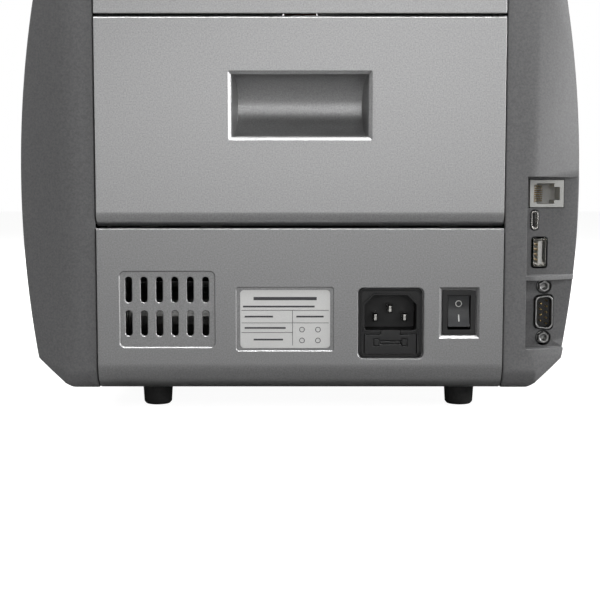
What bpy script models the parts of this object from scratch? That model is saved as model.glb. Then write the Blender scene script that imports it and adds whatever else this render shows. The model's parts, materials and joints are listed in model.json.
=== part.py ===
"""Banknote counting machine at its real size, in metres. +Z is up, and the front faces -Y.
The origin is on the desk, under the middle of the case."""

import math

import bmesh
import bpy
from mathutils import Matrix, Vector

# ---- Driving dimensions ----
WIDTH = 0.268  # across the bulge of the side covers
DEPTH = 0.260
CASE_BOTTOM = 0.010  # the feet hold the case this far off the desk
CASE_TOP = 0.222
WALL = 0.0025  # of every plastic shell
GAP = 0.0003  # between pieces that rest on each other
SEAM = 0.0006  # between covers

REAR = DEPTH / 2
FRONT = -DEPTH / 2
SET_BACK = 0.0015  # how far the side covers' ends stand inside the panels' faces
PANEL_HALF = 0.0962  # half the width of the panels between the side covers
COVER_INNER = PANEL_HALF + SEAM
COVER_REAR = REAR - SET_BACK

# Side covers: a flat strip, a slanting facet, and a barrel-shaped flank
STRIP_EDGE = 0.1125
FACET_SLOPE = 0.53
BULGE_RADIUS = 0.458
BULGE_HEIGHT = 0.109
SKIRT_X = 0.1095  # where the flat underside ends
SKIRT_Z = 0.0245  # where the chamfered lower edge meets the flank
FRONT_TOP_Y = -0.072
KNEE_Z = 0.118  # where the upright front turns into the sloping one

# Rear panels
LOWER_TOP = 0.0872
DOOR_BOTTOM = 0.0881
DOOR_TOP = 0.1860
TOP_COVER_BOTTOM = 0.1870
HINGE_RADIUS = 0.007
HINGE_Y = REAR - HINGE_RADIUS
HINGE_Z = DOOR_BOTTOM + HINGE_RADIUS
HINGE_PIN = 0.0016
PIN_END = 0.0996

# Chassis plates
PLATE_IN = 0.0925
PLATE_OUT = 0.0940

# Shafts: (y, z) of each, and radii
SHAFT = 0.003
BEARING = SHAFT + GAP
UPPER_DRIVE = (0.0848, 0.146)
LOWER_DRIVE = (0.0848, 0.108)
DRIVE_R = 0.016
IDLER_R = 0.007
IDLER_Y = UPPER_DRIVE[0] + DRIVE_R + GAP + IDLER_R
EXIT_IDLER = (0.0790, 0.08535)
EXIT_IDLER_R = 0.007
EXIT_SHAFT = 0.0015
FEED = (0.0745, 0.176)
FEED_R = 0.013
PICKUP = (0.0272, 0.1829)
PICKUP_R = 0.0125
RETARD_R = 0.008
RETARD_ANGLE = math.radians(34)
STACKER = (-0.020, 0.068)
STACKER_R = 0.040
MAIN_MOTOR = (0.030, 0.037)
MAIN_MOTOR_R = 0.0175
FEED_MOTOR = (0.022, 0.155)
FEED_MOTOR_R = 0.014
DRIVE_PULLEY = 0.009
FEED_PULLEY = 0.0075
MOTOR_PULLEY = 0.006
PULLEY_IN = 0.0978
PULLEY_OUT = 0.1046
ROLLER_X = (0.045, 0.075)  # the drive rollers' middles, on each side
ROLLER_WIDTH = 0.012
FEED_X = 0.026

# Hopper
HOPPER_HALF = 0.0905
FLOOR_REAR = (0.0600, 0.1857)
FLOOR_SLOPE = math.tan(math.radians(15))
FLOOR_FRONT_Y = -0.050
GUIDE_X = 0.0880  # the guides' middles with the hopper at its widest
GUIDE_TRAVEL = 0.030
PINION = (0.0, -0.012)  # x, y of the guides' pinion
PINION_TEETH = 12
TOOTH_MODULE = 0.001
TOOTH_ANGLE = math.radians(25)
RACK_Z = (0.1915, 0.1955)

# Front
FASCIA_FOOT = (-0.1285, 0.1172)
FASCIA_HEAD = (-0.0735, 0.2205)
FASCIA_THICK = 0.003
KEY_TRAVEL = 0.0012
POCKET_FLOOR_FRONT = (-0.1117, 0.0455)
LINER_FRONT = -0.1282
POCKET_FLOOR_REAR = (-0.062, 0.036)
POCKET_BACK_TOP = (-0.0455, 0.084)
CHIN_TOP = 0.0462

# Rear connectors
INLET = (-0.0431, 0.0422)  # x, z of the flange's middle
INLET_CAVITY_Z = 0.0470
SWITCH = (-0.0756, 0.0472)
ROCKER_TILT = math.radians(9)
BAY_EDGE = 0.1073
BAY_FLOOR = COVER_REAR - 0.011
BAYS = ((0.0646, 0.1114), (0.0295, 0.0623))
JACK = (-0.1184, 0.1035)
USB_C = (-0.1129, 0.0908)
USB_A = (-0.1154, 0.0752)
SERIAL = (-0.1178, 0.0464)
SERIAL_SCREWS = 0.0250  # spacing
BOARD_X = -0.1098
GRIP_Z = 0.1446
GRIP_HALF = 0.0322
GRIP_RADIUS = 0.0155

FEET = {
    "foot_rear_right": (0.0703, 0.106),
    "foot_rear_left": (-0.0786, 0.106),
    "foot_front_right": (0.0745, -0.106),
    "foot_front_left": (-0.0745, -0.106),
}

MATERIALS = {
    "silver_plastic": ((0.42, 0.42, 0.43), 0.42, 0.35),
    "dark_plastic": ((0.085, 0.087, 0.09), 0.5, 0.2),
    "black_plastic": ((0.015, 0.015, 0.016), 0.45, 0.0),
    "port_plastic": ((0.62, 0.62, 0.60), 0.4, 0.0),
    "key_plastic": ((0.20, 0.21, 0.22), 0.4, 0.0),
    "rubber": ((0.02, 0.02, 0.02), 0.85, 0.0),
    "roller_rubber": ((0.05, 0.05, 0.055), 0.8, 0.0),
    "steel": ((0.55, 0.55, 0.54), 0.35, 1.0),
    "plated_steel": ((0.68, 0.68, 0.66), 0.25, 1.0),
    "circuit_board": ((0.02, 0.16, 0.07), 0.5, 0.0),
    "glass": ((0.01, 0.012, 0.016), 0.08, 0.0),
    "white_plastic": ((0.75, 0.74, 0.71), 0.45, 0.0),
}


# ---- Scene and modelling helpers ----
def start_scene():
    for obj in list(bpy.data.objects):
        bpy.data.objects.remove(obj, do_unlink=True)
    made = []
    for name in ("banknote_counter", "cutters"):
        collection = bpy.data.collections.new(name)
        bpy.context.scene.collection.children.link(collection)
        made.append(collection)
    return made


PARTS, CUTTERS = start_scene()


def make_material(name, colour, roughness, metallic):
    material = bpy.data.materials.new(name)
    material.use_nodes = True
    shader = material.node_tree.nodes["Principled BSDF"]
    shader.inputs["Base Color"].default_value = (*colour, 1.0)
    shader.inputs["Roughness"].default_value = roughness
    shader.inputs["Metallic"].default_value = metallic
    return material


FINISHES = {name: make_material(name, *values) for name, values in MATERIALS.items()}


def shape(mesh, matrix):
    """A working solid. It stays a hidden cutter until part() makes it a piece of the object."""
    obj = bpy.data.objects.new("shape", mesh)
    CUTTERS.objects.link(obj)
    obj.matrix_basis = matrix
    obj.hide_render = True
    obj.display_type = "WIRE"
    return obj


def part(obj, name, finish, parent=None, pivot=None):
    """Names a solid, gives it its material, and puts its origin on its pivot."""
    CUTTERS.objects.unlink(obj)
    PARTS.objects.link(obj)
    obj.name = name
    obj.data.name = name
    obj.hide_render = False
    obj.display_type = "TEXTURED"
    obj.data.materials.clear()
    obj.data.materials.append(FINISHES[finish])
    obj.data.shade_smooth()
    obj.data.set_sharp_from_angle(angle=math.radians(32))
    if pivot is not None:
        offset = obj.matrix_basis.inverted() @ Vector(pivot)
        obj.data.transform(Matrix.Translation(-offset))
        obj.matrix_basis = Matrix.Translation(
            Vector(pivot) - obj.matrix_basis.translation,
        ) @ obj.matrix_basis
    if parent is not None:
        obj.matrix_basis = place_of(parent).inverted() @ obj.matrix_basis
        obj.parent = parent
    return obj


def place_of(empty):
    """The world matrix of an empty, through its parents."""
    if empty.parent is None:
        return empty.matrix_basis.copy()
    return place_of(empty.parent) @ empty.matrix_basis


def pivot_empty(name, location, parent=None, tilt=0.0):
    """An empty on a joint's axis, or at an assembly's origin."""
    empty = bpy.data.objects.new(name, None)
    empty.empty_display_size = 0.01
    PARTS.objects.link(empty)
    world = Matrix.Translation(location) @ Matrix.Rotation(tilt, 4, "X")
    if parent is not None:
        world = place_of(parent).inverted() @ world
        empty.parent = parent
    empty.matrix_basis = world
    return empty


def combine(target, operation, tools):
    for tool in tools:
        modifier = target.modifiers.new(operation.lower(), "BOOLEAN")
        modifier.operation = operation
        modifier.object = tool
    return target


def cut(target, *tools):
    return combine(target, "DIFFERENCE", tools)


def join(target, *tools):
    return combine(target, "UNION", tools)


def common(target, *tools):
    return combine(target, "INTERSECT", tools)


def moved(matrix, obj):
    """Moves a shape together with the shapes that cut it or are joined to it."""
    obj.matrix_basis = matrix @ obj.matrix_basis
    for modifier in obj.modifiers:
        if modifier.type == "BOOLEAN":
            moved(matrix, modifier.object)
    return obj


def block(low, high):
    low, high = Vector(low), Vector(high)
    bm = bmesh.new()
    bmesh.ops.create_cube(bm, size=1.0)
    bmesh.ops.scale(bm, vec=high - low, verts=bm.verts)
    mesh = bpy.data.meshes.new("block")
    bm.to_mesh(mesh)
    bm.free()
    return shape(mesh, Matrix.Translation((low + high) / 2))


def rod(start, end, radius, end_radius=None, sides=20):
    """A cylinder, or a cone, between two points."""
    start, end = Vector(start), Vector(end)
    bm = bmesh.new()
    bmesh.ops.create_cone(
        bm,
        cap_ends=True,
        segments=sides,
        radius1=radius,
        radius2=radius if end_radius is None else end_radius,
        depth=(end - start).length,
    )
    mesh = bpy.data.meshes.new("rod")
    bm.to_mesh(mesh)
    bm.free()
    turn = (end - start).to_track_quat("Z", "Y").to_matrix().to_4x4()
    return shape(mesh, Matrix.Translation((start + end) / 2) @ turn)


AXES = {
    "X": Matrix(((0, 0, 1, 0), (1, 0, 0, 0), (0, 1, 0, 0), (0, 0, 0, 1))),
    "Y": Matrix(((1, 0, 0, 0), (0, 0, -1, 0), (0, 1, 0, 0), (0, 0, 0, 1))),
    "Z": Matrix.Identity(4),
}
ALONG = {"X": Vector((1, 0, 0)), "Y": Vector((0, 1, 0)), "Z": Vector((0, 0, 1))}


def prism(outline, axis, start, end):
    """A flat outline extruded along an axis: (y, z) for X, (x, z) for Y and (x, y) for Z."""
    data = bpy.data.curves.new("outline", "CURVE")
    data.dimensions = "2D"
    data.fill_mode = "BOTH"
    data.extrude = abs(end - start) / 2
    spline = data.splines.new("POLY")
    spline.points.add(len(outline) - 1)
    for point, (u, v) in zip(spline.points, outline):
        point.co = (u, v, 0.0, 1.0)
    spline.use_cyclic_u = True
    curve = bpy.data.objects.new("outline", data)
    CUTTERS.objects.link(curve)
    evaluated = curve.evaluated_get(bpy.context.evaluated_depsgraph_get())
    mesh = bpy.data.meshes.new_from_object(evaluated)
    bm = bmesh.new()
    bm.from_mesh(mesh)
    bmesh.ops.remove_doubles(bm, verts=bm.verts, dist=1e-6)
    bmesh.ops.recalc_face_normals(bm, faces=bm.faces)
    flat = [e for e in bm.edges if all(abs(f.normal.z) > 0.999 for f in e.link_faces)]
    bmesh.ops.dissolve_edges(bm, edges=flat, use_verts=False)
    bm.to_mesh(mesh)
    bm.free()
    bpy.data.objects.remove(curve)
    return shape(mesh, Matrix.Translation(ALONG[axis] * (start + end) / 2) @ AXES[axis])


def turned(stations, axis, centre=(0, 0, 0), sides=20):
    """A turned solid. The stations are (distance along the axis, radius), from low to high."""
    profile = [(stations[-1][0], 0.0), *reversed(stations), (stations[0][0], 0.0)]
    mesh = bpy.data.meshes.new("profile")
    points = [(radius, 0.0, along) for along, radius in profile]
    mesh.from_pydata(points, [(i, i + 1) for i in range(len(points) - 1)], [])
    obj = shape(mesh, Matrix.Translation(centre) @ AXES[axis])
    screw = obj.modifiers.new("turn", "SCREW")
    screw.steps = sides
    screw.render_steps = sides
    screw.use_merge_vertices = True
    screw.merge_threshold = 1e-5
    return obj


def loft(rings):
    """A closed solid through rings of points that match one to one."""
    bm = bmesh.new()
    rows = [[bm.verts.new(point) for point in ring] for ring in rings]
    count = len(rings[0])
    for low, high in zip(rows, rows[1:]):
        for i in range(count):
            j = (i + 1) % count
            bm.faces.new((low[i], low[j], high[j], high[i]))
    bm.faces.new(rows[0])
    bm.faces.new(rows[-1])
    bmesh.ops.recalc_face_normals(bm, faces=bm.faces)
    mesh = bpy.data.meshes.new("loft")
    bm.to_mesh(mesh)
    bm.free()
    return shape(mesh, Matrix.Identity(4))


# ---- Outlines ----
def arc(centre, radius, start, end, steps):
    """Points of an arc, with its angles in degrees."""
    angles = [math.radians(start + (end - start) * i / steps) for i in range(steps + 1)]
    return [(centre[0] + radius * math.cos(a), centre[1] + radius * math.sin(a)) for a in angles]


def rounded(corners, radii, steps=4):
    """A polygon with its corners replaced by arcs. A radius of 0 keeps a corner sharp."""
    outline = []
    for i, (corner, radius) in enumerate(zip(corners, radii)):
        here = Vector(corner)
        if radius <= 0:
            outline.append(tuple(here))
            continue
        back = (Vector(corners[i - 1]) - here).normalized()
        ahead = (Vector(corners[(i + 1) % len(corners)]) - here).normalized()
        half = back.angle(ahead) / 2
        centre = here + (back + ahead).normalized() * radius / math.sin(half)
        first = here + back * radius / math.tan(half) - centre
        sweep = (math.pi - 2 * half) * (1 if back.cross(ahead) < 0 else -1)
        for k in range(steps + 1):
            angle = sweep * k / steps
            c, s = math.cos(angle), math.sin(angle)
            outline.append((centre.x + first.x * c - first.y * s, centre.y + first.x * s + first.y * c))
    return outline


def inset(corners, distance):
    """A counter-clockwise polygon with every side moved inwards."""
    moved = []
    count = len(corners)
    for i in range(count):
        a, b, c = (Vector(corners[(i + k) % count]) for k in (-1, 0, 1))
        before, after = (b - a).normalized(), (c - b).normalized()
        inward = Vector((-before.y, before.x)) + Vector((-after.y, after.x))
        moved.append(tuple(b + inward * distance / (1 + before.dot(after))))
    return moved


def rectangle(centre, width, height):
    (u, v), w, h = centre, width / 2, height / 2
    return [(u - w, v - h), (u + w, v - h), (u + w, v + h), (u - w, v + h)]


def soft_rectangle(centre, width, height, radius, steps=3):
    return rounded(rectangle(centre, width, height), [radius] * 4, steps)


def hull(points):
    """The convex outline round some points, counter-clockwise."""
    points = sorted(set(points))

    def chain(ordered):
        kept = []
        for p in ordered:
            while len(kept) > 1 and (
                (kept[-1][0] - kept[-2][0]) * (p[1] - kept[-2][1])
                - (kept[-1][1] - kept[-2][1]) * (p[0] - kept[-2][0])
            ) <= 0:
                kept.pop()
            kept.append(p)
        return kept[:-1]

    return chain(points) + chain(points[::-1])


def floor_z(y):
    """The height of the hopper's sloping floor."""
    return FLOOR_REAR[1] + (FLOOR_REAR[0] - y) * FLOOR_SLOPE


# ---- Side covers ----
SIDE_PROFILE = (
    (COVER_REAR, CASE_BOTTOM),
    (COVER_REAR, CASE_TOP),
    (FRONT_TOP_Y, CASE_TOP),
    (FRONT, KNEE_Z),
    (FRONT, CASE_BOTTOM),
)
SIDE_RADII = (0.010, 0.016, 0.014, 0.022, 0.008)


def flank(height):
    """The half width of the barrel-shaped flank at a height."""
    rise = height - BULGE_HEIGHT
    return WIDTH / 2 - (BULGE_RADIUS - math.sqrt(BULGE_RADIUS**2 - rise**2))


def silhouette(shrink):
    """One cover's outline from behind, as (x, z), with its chamfered lower and upper edges."""
    slide = math.tan(math.radians(22.5)) * shrink
    low, high = SKIRT_Z + slide, CASE_TOP - (SKIRT_Z - CASE_BOTTOM) - slide
    steps = 12
    heights = [low + (high - low) * i / steps for i in range(steps + 1)]
    inner = COVER_INNER - 0.02
    return [
        (inner, CASE_BOTTOM + shrink),
        (SKIRT_X - slide, CASE_BOTTOM + shrink),
        *[(flank(z) - shrink, z) for z in heights],
        (SKIRT_X - slide, CASE_TOP - shrink),
        (inner, CASE_TOP - shrink),
    ]


def cover_body(side, shrink, open_x):
    """The solid of a side cover: a full profile up to the strip's edge, then a slanting facet."""
    rings = []
    for x in (open_x, STRIP_EDGE - shrink * 0.24, WIDTH / 2 + 0.003 - shrink):
        taper = max(0.0, x - STRIP_EDGE + shrink * 0.24) * FACET_SLOPE
        corners = inset(SIDE_PROFILE, shrink + taper)
        radii = [max(radius - shrink, 0.002) for radius in SIDE_RADII]
        rings.append([(side * x, y, z) for y, z in rounded(corners, radii)])
    outline = [(side * x, z) for x, z in silhouette(shrink)]
    return common(loft(rings), prism(outline, "Y", FRONT - 0.01, REAR + 0.01))


def bay_block(low, high, grow):
    """The space of one port bay: its side is open to the rear and to the flank."""
    return block(
        (-WIDTH / 2 - 0.01, BAY_FLOOR - grow, low - grow),
        (-BAY_EDGE + grow, REAR + 0.01, high + grow),
    )


def side_cover(side, name):
    body = cover_body(side, 0.0, COVER_INNER)
    hollow = cover_body(side, WALL, COVER_INNER - 0.01)
    if side < 0:
        for low, high in BAYS:
            cut(hollow, bay_block(low, high, WALL))
            cut(body, bay_block(low, high, 0.0))
    cut(body, hollow)
    if side < 0:
        cut(body, *port_openings())
    return part(body, name, "dark_plastic")


def port_openings():
    """The holes through the bays' floor, one for each connector."""
    wall = (BAY_FLOOR - 2 * WALL, BAY_FLOOR + 0.004)
    openings = [
        prism(rectangle(JACK, 0.0170, 0.0139), "Y", *wall),
        prism(soft_rectangle(USB_C, 0.0042, 0.0102, 0.0020), "Y", *wall),
        prism(soft_rectangle(USB_A, 0.0080, 0.0154, 0.0016), "Y", *wall),
        prism(serial_outline(0.0007), "Y", *wall),
    ]
    for dz in (-SERIAL_SCREWS / 2, SERIAL_SCREWS / 2):
        x, z = SERIAL[0], SERIAL[1] + dz
        openings.append(rod((x, wall[0], z), (x, wall[1], z), 0.0038))
    return openings


# ---- Panels ----
def rear_lower_panel():
    outer = rounded(
        [(0.112, CASE_BOTTOM), (REAR, CASE_BOTTOM), (REAR, LOWER_TOP), (0.112, LOWER_TOP)],
        [0, 0.013, 0.0008, 0],
        6,
    )
    inner = rounded(
        [
            (0.10, CASE_BOTTOM + WALL), (REAR - WALL, CASE_BOTTOM + WALL),
            (REAR - WALL, LOWER_TOP - WALL), (0.10, LOWER_TOP - WALL),
        ],
        [0, 0.0105, 0, 0],
        6,
    )
    panel = prism(outer, "X", -PANEL_HALF, PANEL_HALF)
    cut(panel, prism(inner, "X", -PANEL_HALF - 0.01, PANEL_HALF + 0.01))
    seat = REAR - 0.0072
    join(panel, prism(rectangle(INLET, 0.0380, 0.0400), "Y", seat, REAR - WALL / 2))
    join(panel, prism(rectangle(SWITCH, 0.0230, 0.0290), "Y", seat, REAR - WALL / 2))
    cut(panel, flared_recess(INLET, 0.0311, 0.0336, 0.0004, 0.0045, 0.0026))
    cut(panel, prism(rectangle((INLET[0], INLET[1]), 0.0274, 0.0300), "Y", seat - 0.01, REAR))
    cut(panel, flared_recess(SWITCH, 0.0169, 0.0221, 0.0012, 0.0030))
    cut(panel, prism(rectangle(SWITCH, 0.0134, 0.0194), "Y", seat - 0.01, REAR))
    label_middle = ((0.0305 - 0.0162) / 2, (0.0288 + 0.0596) / 2)
    cut(panel, flared_recess(label_middle, 0.0459, 0.0300, 0.0004, 0.0010, 0.0011))
    vent_middle = ((0.0401 + 0.0858) / 2, (0.0304 + 0.0672) / 2)
    cut(panel, flared_recess(vent_middle, 0.0447, 0.0358, 0.0005, 0.0008, 0.0021))
    for column in range(6):
        for z in (0.0581, 0.0421):
            middle = (0.0448 + 0.0073 * column, z)
            cut(panel, flared_recess(middle, 0.0032, 0.0122, 0.0003, 0.01, 0.00159, REAR - 0.0008))
    return part(panel, "rear_lower_panel", "silver_plastic")


def flared_recess(centre, width, height, flare, depth, radius=0.0, face=REAR):
    """A cutter for a recess in a face towards +Y whose mouth is chamfered."""
    rings = []
    for y, grow in ((face - depth, 0.0), (face - flare, 0.0), (face + 0.001, flare + 0.001)):
        size = (width + 2 * grow, height + 2 * grow)
        outline = soft_rectangle(centre, *size, radius + grow) if radius else rectangle(centre, *size)
        rings.append([(x, y, z) for x, z in outline])
    return loft(rings)


def rear_top_cover():
    corners = [
        (0.0970, TOP_COVER_BOTTOM), (REAR, TOP_COVER_BOTTOM), (REAR, CASE_TOP), (0.1045, CASE_TOP),
        (0.0970, 0.1960),
    ]
    outer = rounded(corners, [0, 0, 0.014, 0.003, 0.002], 6)
    lowered = [(corners[0][0] + WALL, corners[0][1] - 0.01), (REAR - WALL, corners[1][1] - 0.01)]
    lowered += [
        (REAR - WALL, CASE_TOP - WALL), (0.1045 + WALL * 0.9, CASE_TOP - WALL),
        (0.0970 + WALL, 0.1955),
    ]
    inner = rounded(lowered, [0, 0, 0.0115, 0.001, 0.001], 6)
    cover = prism(outer, "X", -PANEL_HALF, PANEL_HALF)
    cut(cover, prism(inner, "X", -PANEL_HALF + WALL, PANEL_HALF - WALL))
    cut(cover, block((-0.0085, 0.08, 0.17), (0.0085, 0.1012, 0.2010)))
    y, z = retard_place()
    for side in (-1, 1):
        bracket = rounded(
            [
                (y - 0.004, z - 0.004), (y + 0.004, z - 0.004), (0.1035, 0.1990), (0.1060, 0.2200),
                (0.1035, 0.2200), (y - 0.004, 0.1965),
            ],
            [0.003, 0.003, 0, 0, 0, 0],
        )
        join(cover, prism(bracket, "X", side * 0.0090, side * 0.0108))
    cut(cover, rod((-0.02, y, z), (0.02, y, z), 0.0015 + GAP))
    cut(cover, rod((0, 0.1195, 0.21), (0, 0.1195, 0.23), 0.0035))
    for side in (-1, 1):
        ear = rounded(
            [(0.1075, 0.2200), (0.1145, 0.2200), (0.1145, 0.2275), (0.1075, 0.2275)],
            [0, 0, 0.0034, 0.0034],
        )
        join(cover, prism(ear, "X", side * 0.0535, side * 0.0560))
    cut(cover, rod((-0.07, SUPPORT_Y, SUPPORT_Z), (0.07, SUPPORT_Y, SUPPORT_Z), 0.0014 + GAP, sides=12))
    return part(cover, "rear_top_cover", "silver_plastic")


SUPPORT_Y, SUPPORT_Z = 0.1110, 0.2246
SUPPORT_LEAN = math.radians(20)


def note_support():
    """The plate that folds up behind the hopper, and carries the notes' upper edge."""
    frame = pivot_empty("note_support_pivot", (0, SUPPORT_Y, SUPPORT_Z))
    outline = rounded(
        [(-0.0520, 0.0), (0.0520, 0.0), (0.0520, 0.0340), (-0.0520, 0.0340)], [0, 0, 0.009, 0.009]
    )
    plate = prism(outline, "Y", -0.0011, 0.0011)
    cut(plate, prism(soft_rectangle((0, 0.003), 0.040, 0.036, 0.006), "Y", -0.01, 0.01))
    join(
        plate, rod((-0.0520, 0, 0), (-0.0216, 0, 0), 0.0022, sides=12),
        rod((0.0216, 0, 0), (0.0520, 0, 0), 0.0022, sides=12),
    )
    join(
        plate, rod((-0.0562, 0, 0), (-0.0400, 0, 0), 0.0014, sides=12),
        rod((0.0400, 0, 0), (0.0562, 0, 0), 0.0014, sides=12),
    )
    lean = Matrix.Translation((0, SUPPORT_Y, SUPPORT_Z)) @ Matrix.Rotation(-SUPPORT_LEAN, 4, "X")
    return part(moved(lean, plate), "note_support", "black_plastic", parent=frame)


def front_fascia():
    foot, head = Vector(FASCIA_FOOT), Vector(FASCIA_HEAD)
    along = (head - foot).normalized()
    inward = Vector((along.y, -along.x))
    back = inward * FASCIA_THICK
    outline = [
        tuple(foot), tuple(foot + back + along * 0.002), tuple(head + back - along * 0.002),
        (-0.0692, 0.2172), (-0.0692, 0.2205), tuple(head),
    ]
    panel = prism(outline, "X", -PANEL_HALF, PANEL_HALF)
    frame = pivot_empty("fascia_frame", (0, *FASCIA_FOOT), tilt=math.atan2(along.y, along.x))
    place = frame.matrix_basis
    window = moved(place, prism(soft_rectangle((0, SCREEN_V), 0.0926, 0.0606, 0.0015), "Z", -0.01, 0.01))
    holes = [
        moved(
            place,
            prism(soft_rectangle((u, KEY_V), w + 0.0008, KEY_HEIGHT + 0.0008, 0.0024), "Z", -0.01, 0.01),
        )
        for u, w in KEYS.values()
    ]
    cut(panel, window, *holes)
    part(panel, "front_fascia", "silver_plastic")
    screen = prism(soft_rectangle((0, SCREEN_V), 0.0920, 0.0600, 0.0012), "Z", -0.0040, -0.0004)
    join(screen, prism(rectangle((0, SCREEN_V), 0.0980, 0.0660), "Z", -0.0062, -FASCIA_THICK - GAP))
    part(moved(place, screen), "display_screen", "glass", parent=frame)
    for name, (u, w) in KEYS.items():
        pivot = pivot_empty(name + "_travel", place @ Vector((u, KEY_V, 0)), parent=frame)
        key = prism(soft_rectangle((u, KEY_V), w, KEY_HEIGHT, 0.0020), "Z", -0.0060, 0.0016)
        join(
            key,
            prism(
                rectangle((u, KEY_V), w + 0.0030, KEY_HEIGHT + 0.0030), "Z", -0.0066,
                -FASCIA_THICK - GAP,
            ),
        )
        part(moved(place, key), name, "key_plastic", parent=pivot)
    return panel


SCREEN_V = 0.0720
KEY_V = 0.0220
KEY_HEIGHT = 0.0115
KEYS = {
    "key_mode": (-0.0680, 0.0240),
    "key_currency": (-0.0360, 0.0240),
    "key_start": (0.0000, 0.0320),
    "key_batch": (0.0360, 0.0240),
    "key_clear": (0.0680, 0.0240),
}


def front_chin():
    front = FRONT + SET_BACK
    outer = rounded(
        [(front, CASE_BOTTOM), (-0.1120, CASE_BOTTOM), (-0.1120, CHIN_TOP), (front, CHIN_TOP)],
        [0.008, 0, 0, 0.0035],
    )
    inner = [
        (front + WALL, CASE_BOTTOM + WALL), (-0.10, CASE_BOTTOM + WALL), (-0.10, CHIN_TOP - WALL),
        (front + WALL, CHIN_TOP - WALL),
    ]
    chin = prism(outer, "X", -PANEL_HALF, PANEL_HALF)
    cut(chin, prism(rounded(inner, [0.0055, 0, 0, 0.001]), "X", -PANEL_HALF - 0.01, PANEL_HALF + 0.01))
    return part(chin, "front_chin", "silver_plastic")


def base_tray():
    half = 0.0920
    tray = block((-PANEL_HALF, -0.1110, CASE_BOTTOM), (PANEL_HALF, 0.1110, CASE_BOTTOM + WALL))
    for side in (-1, 1):
        rib = ((side * half, -0.1085, CASE_BOTTOM + 0.001), (side * (half - 0.0018), 0.1085, 0.0165))
        low = [min(a, b) for a, b in zip(*rib)]
        high = [max(a, b) for a, b in zip(*rib)]
        join(tray, block(low, high))
    for row in range(5):
        slot = soft_rectangle((-0.030, 0.055 + 0.009 * row), 0.050, 0.0040, 0.0019, 2)
        cut(tray, prism(slot, "Z", 0, 0.02))
    for x, y in FEET.values():
        cut(tray, rod((x, y, 0), (x, y, 0.02), 0.0019, sides=12))
    return part(tray, "base_tray", "dark_plastic")


def feet():
    for name, (x, y) in FEET.items():
        top = CASE_BOTTOM - GAP
        foot = turned([(0.0, 0.0058), (0.0012, 0.0068), (top, 0.0073)], "Z", (x, y, 0))
        cut(
            foot, rod((x, y, -0.01), (x, y, 0.0050), 0.0034, sides=12),
            rod((x, y, 0.0), (x, y, 0.02), 0.0018, sides=12),
        )
        part(foot, name, "rubber")


# ---- Chassis ----
def chassis_plate(side, name):
    outline = [
        (
            0.1085, 0.0170
        ), (0.1085, 0.0886), (0.1150, 0.0886), (0.1150, 0.1780), (0.0940, 0.1860), (0.0940, 0.2120),
        (-0.0640, 0.2120), (-0.1100, 0.1300), (-0.1100, 0.0170),
    ]
    outline = rounded(outline, [0.003, 0.003, 0.003, 0.008, 0.004, 0.004, 0.006, 0.006, 0.003], 2)
    plate = prism(outline, "X", side * PLATE_IN, side * PLATE_OUT)
    reach = (side * (PLATE_IN + 0.0004), side * PIN_END)
    joggle = rounded(
        [(0.1030, 0.0890), (0.1156, 0.0890), (0.1156, 0.1010), (0.1030, 0.1010)], [0.002] * 4, 2
    )
    join(plate, prism(joggle, "X", *reach))
    ear = rounded(
        [(0.1030, 0.0890), (0.1257, 0.0890), (0.1257, 0.1005), (0.1030, 0.1010)],
        [0.002, 0.003, 0.003, 0.002], 2,
    )
    join(plate, prism(ear, "X", side * (COVER_INNER + GAP), side * PIN_END))
    pin = ((side * 0.08, HINGE_Y, HINGE_Z), (side * 0.12, HINGE_Y, HINGE_Z))
    cut(plate, rod(*pin, HINGE_PIN + GAP))
    for y, z in (UPPER_DRIVE, LOWER_DRIVE, FEED, PICKUP, STACKER):
        cut(plate, rod((side * 0.08, y, z), (side * 0.11, y, z), BEARING, sides=16))
    cut(plate, rod((side * 0.08, *EXIT_IDLER), (side * 0.11, *EXIT_IDLER), EXIT_SHAFT + GAP, sides=12))
    if side > 0:
        for y, z in (MAIN_MOTOR, FEED_MOTOR):
            cut(plate, rod((0.08, y, z), (0.11, y, z), 0.0036, sides=16))
    for window in (
        (-0.085, 0.150, 0.030, 0.036), (0.000, 0.125, 0.050, 0.030), (0.075, 0.048, 0.040, 0.036)
    ):
        cut(plate, prism(soft_rectangle(window[:2], *window[2:], 0.006), "X", side * 0.08, side * 0.11))
    return part(plate, name, "steel")


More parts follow.
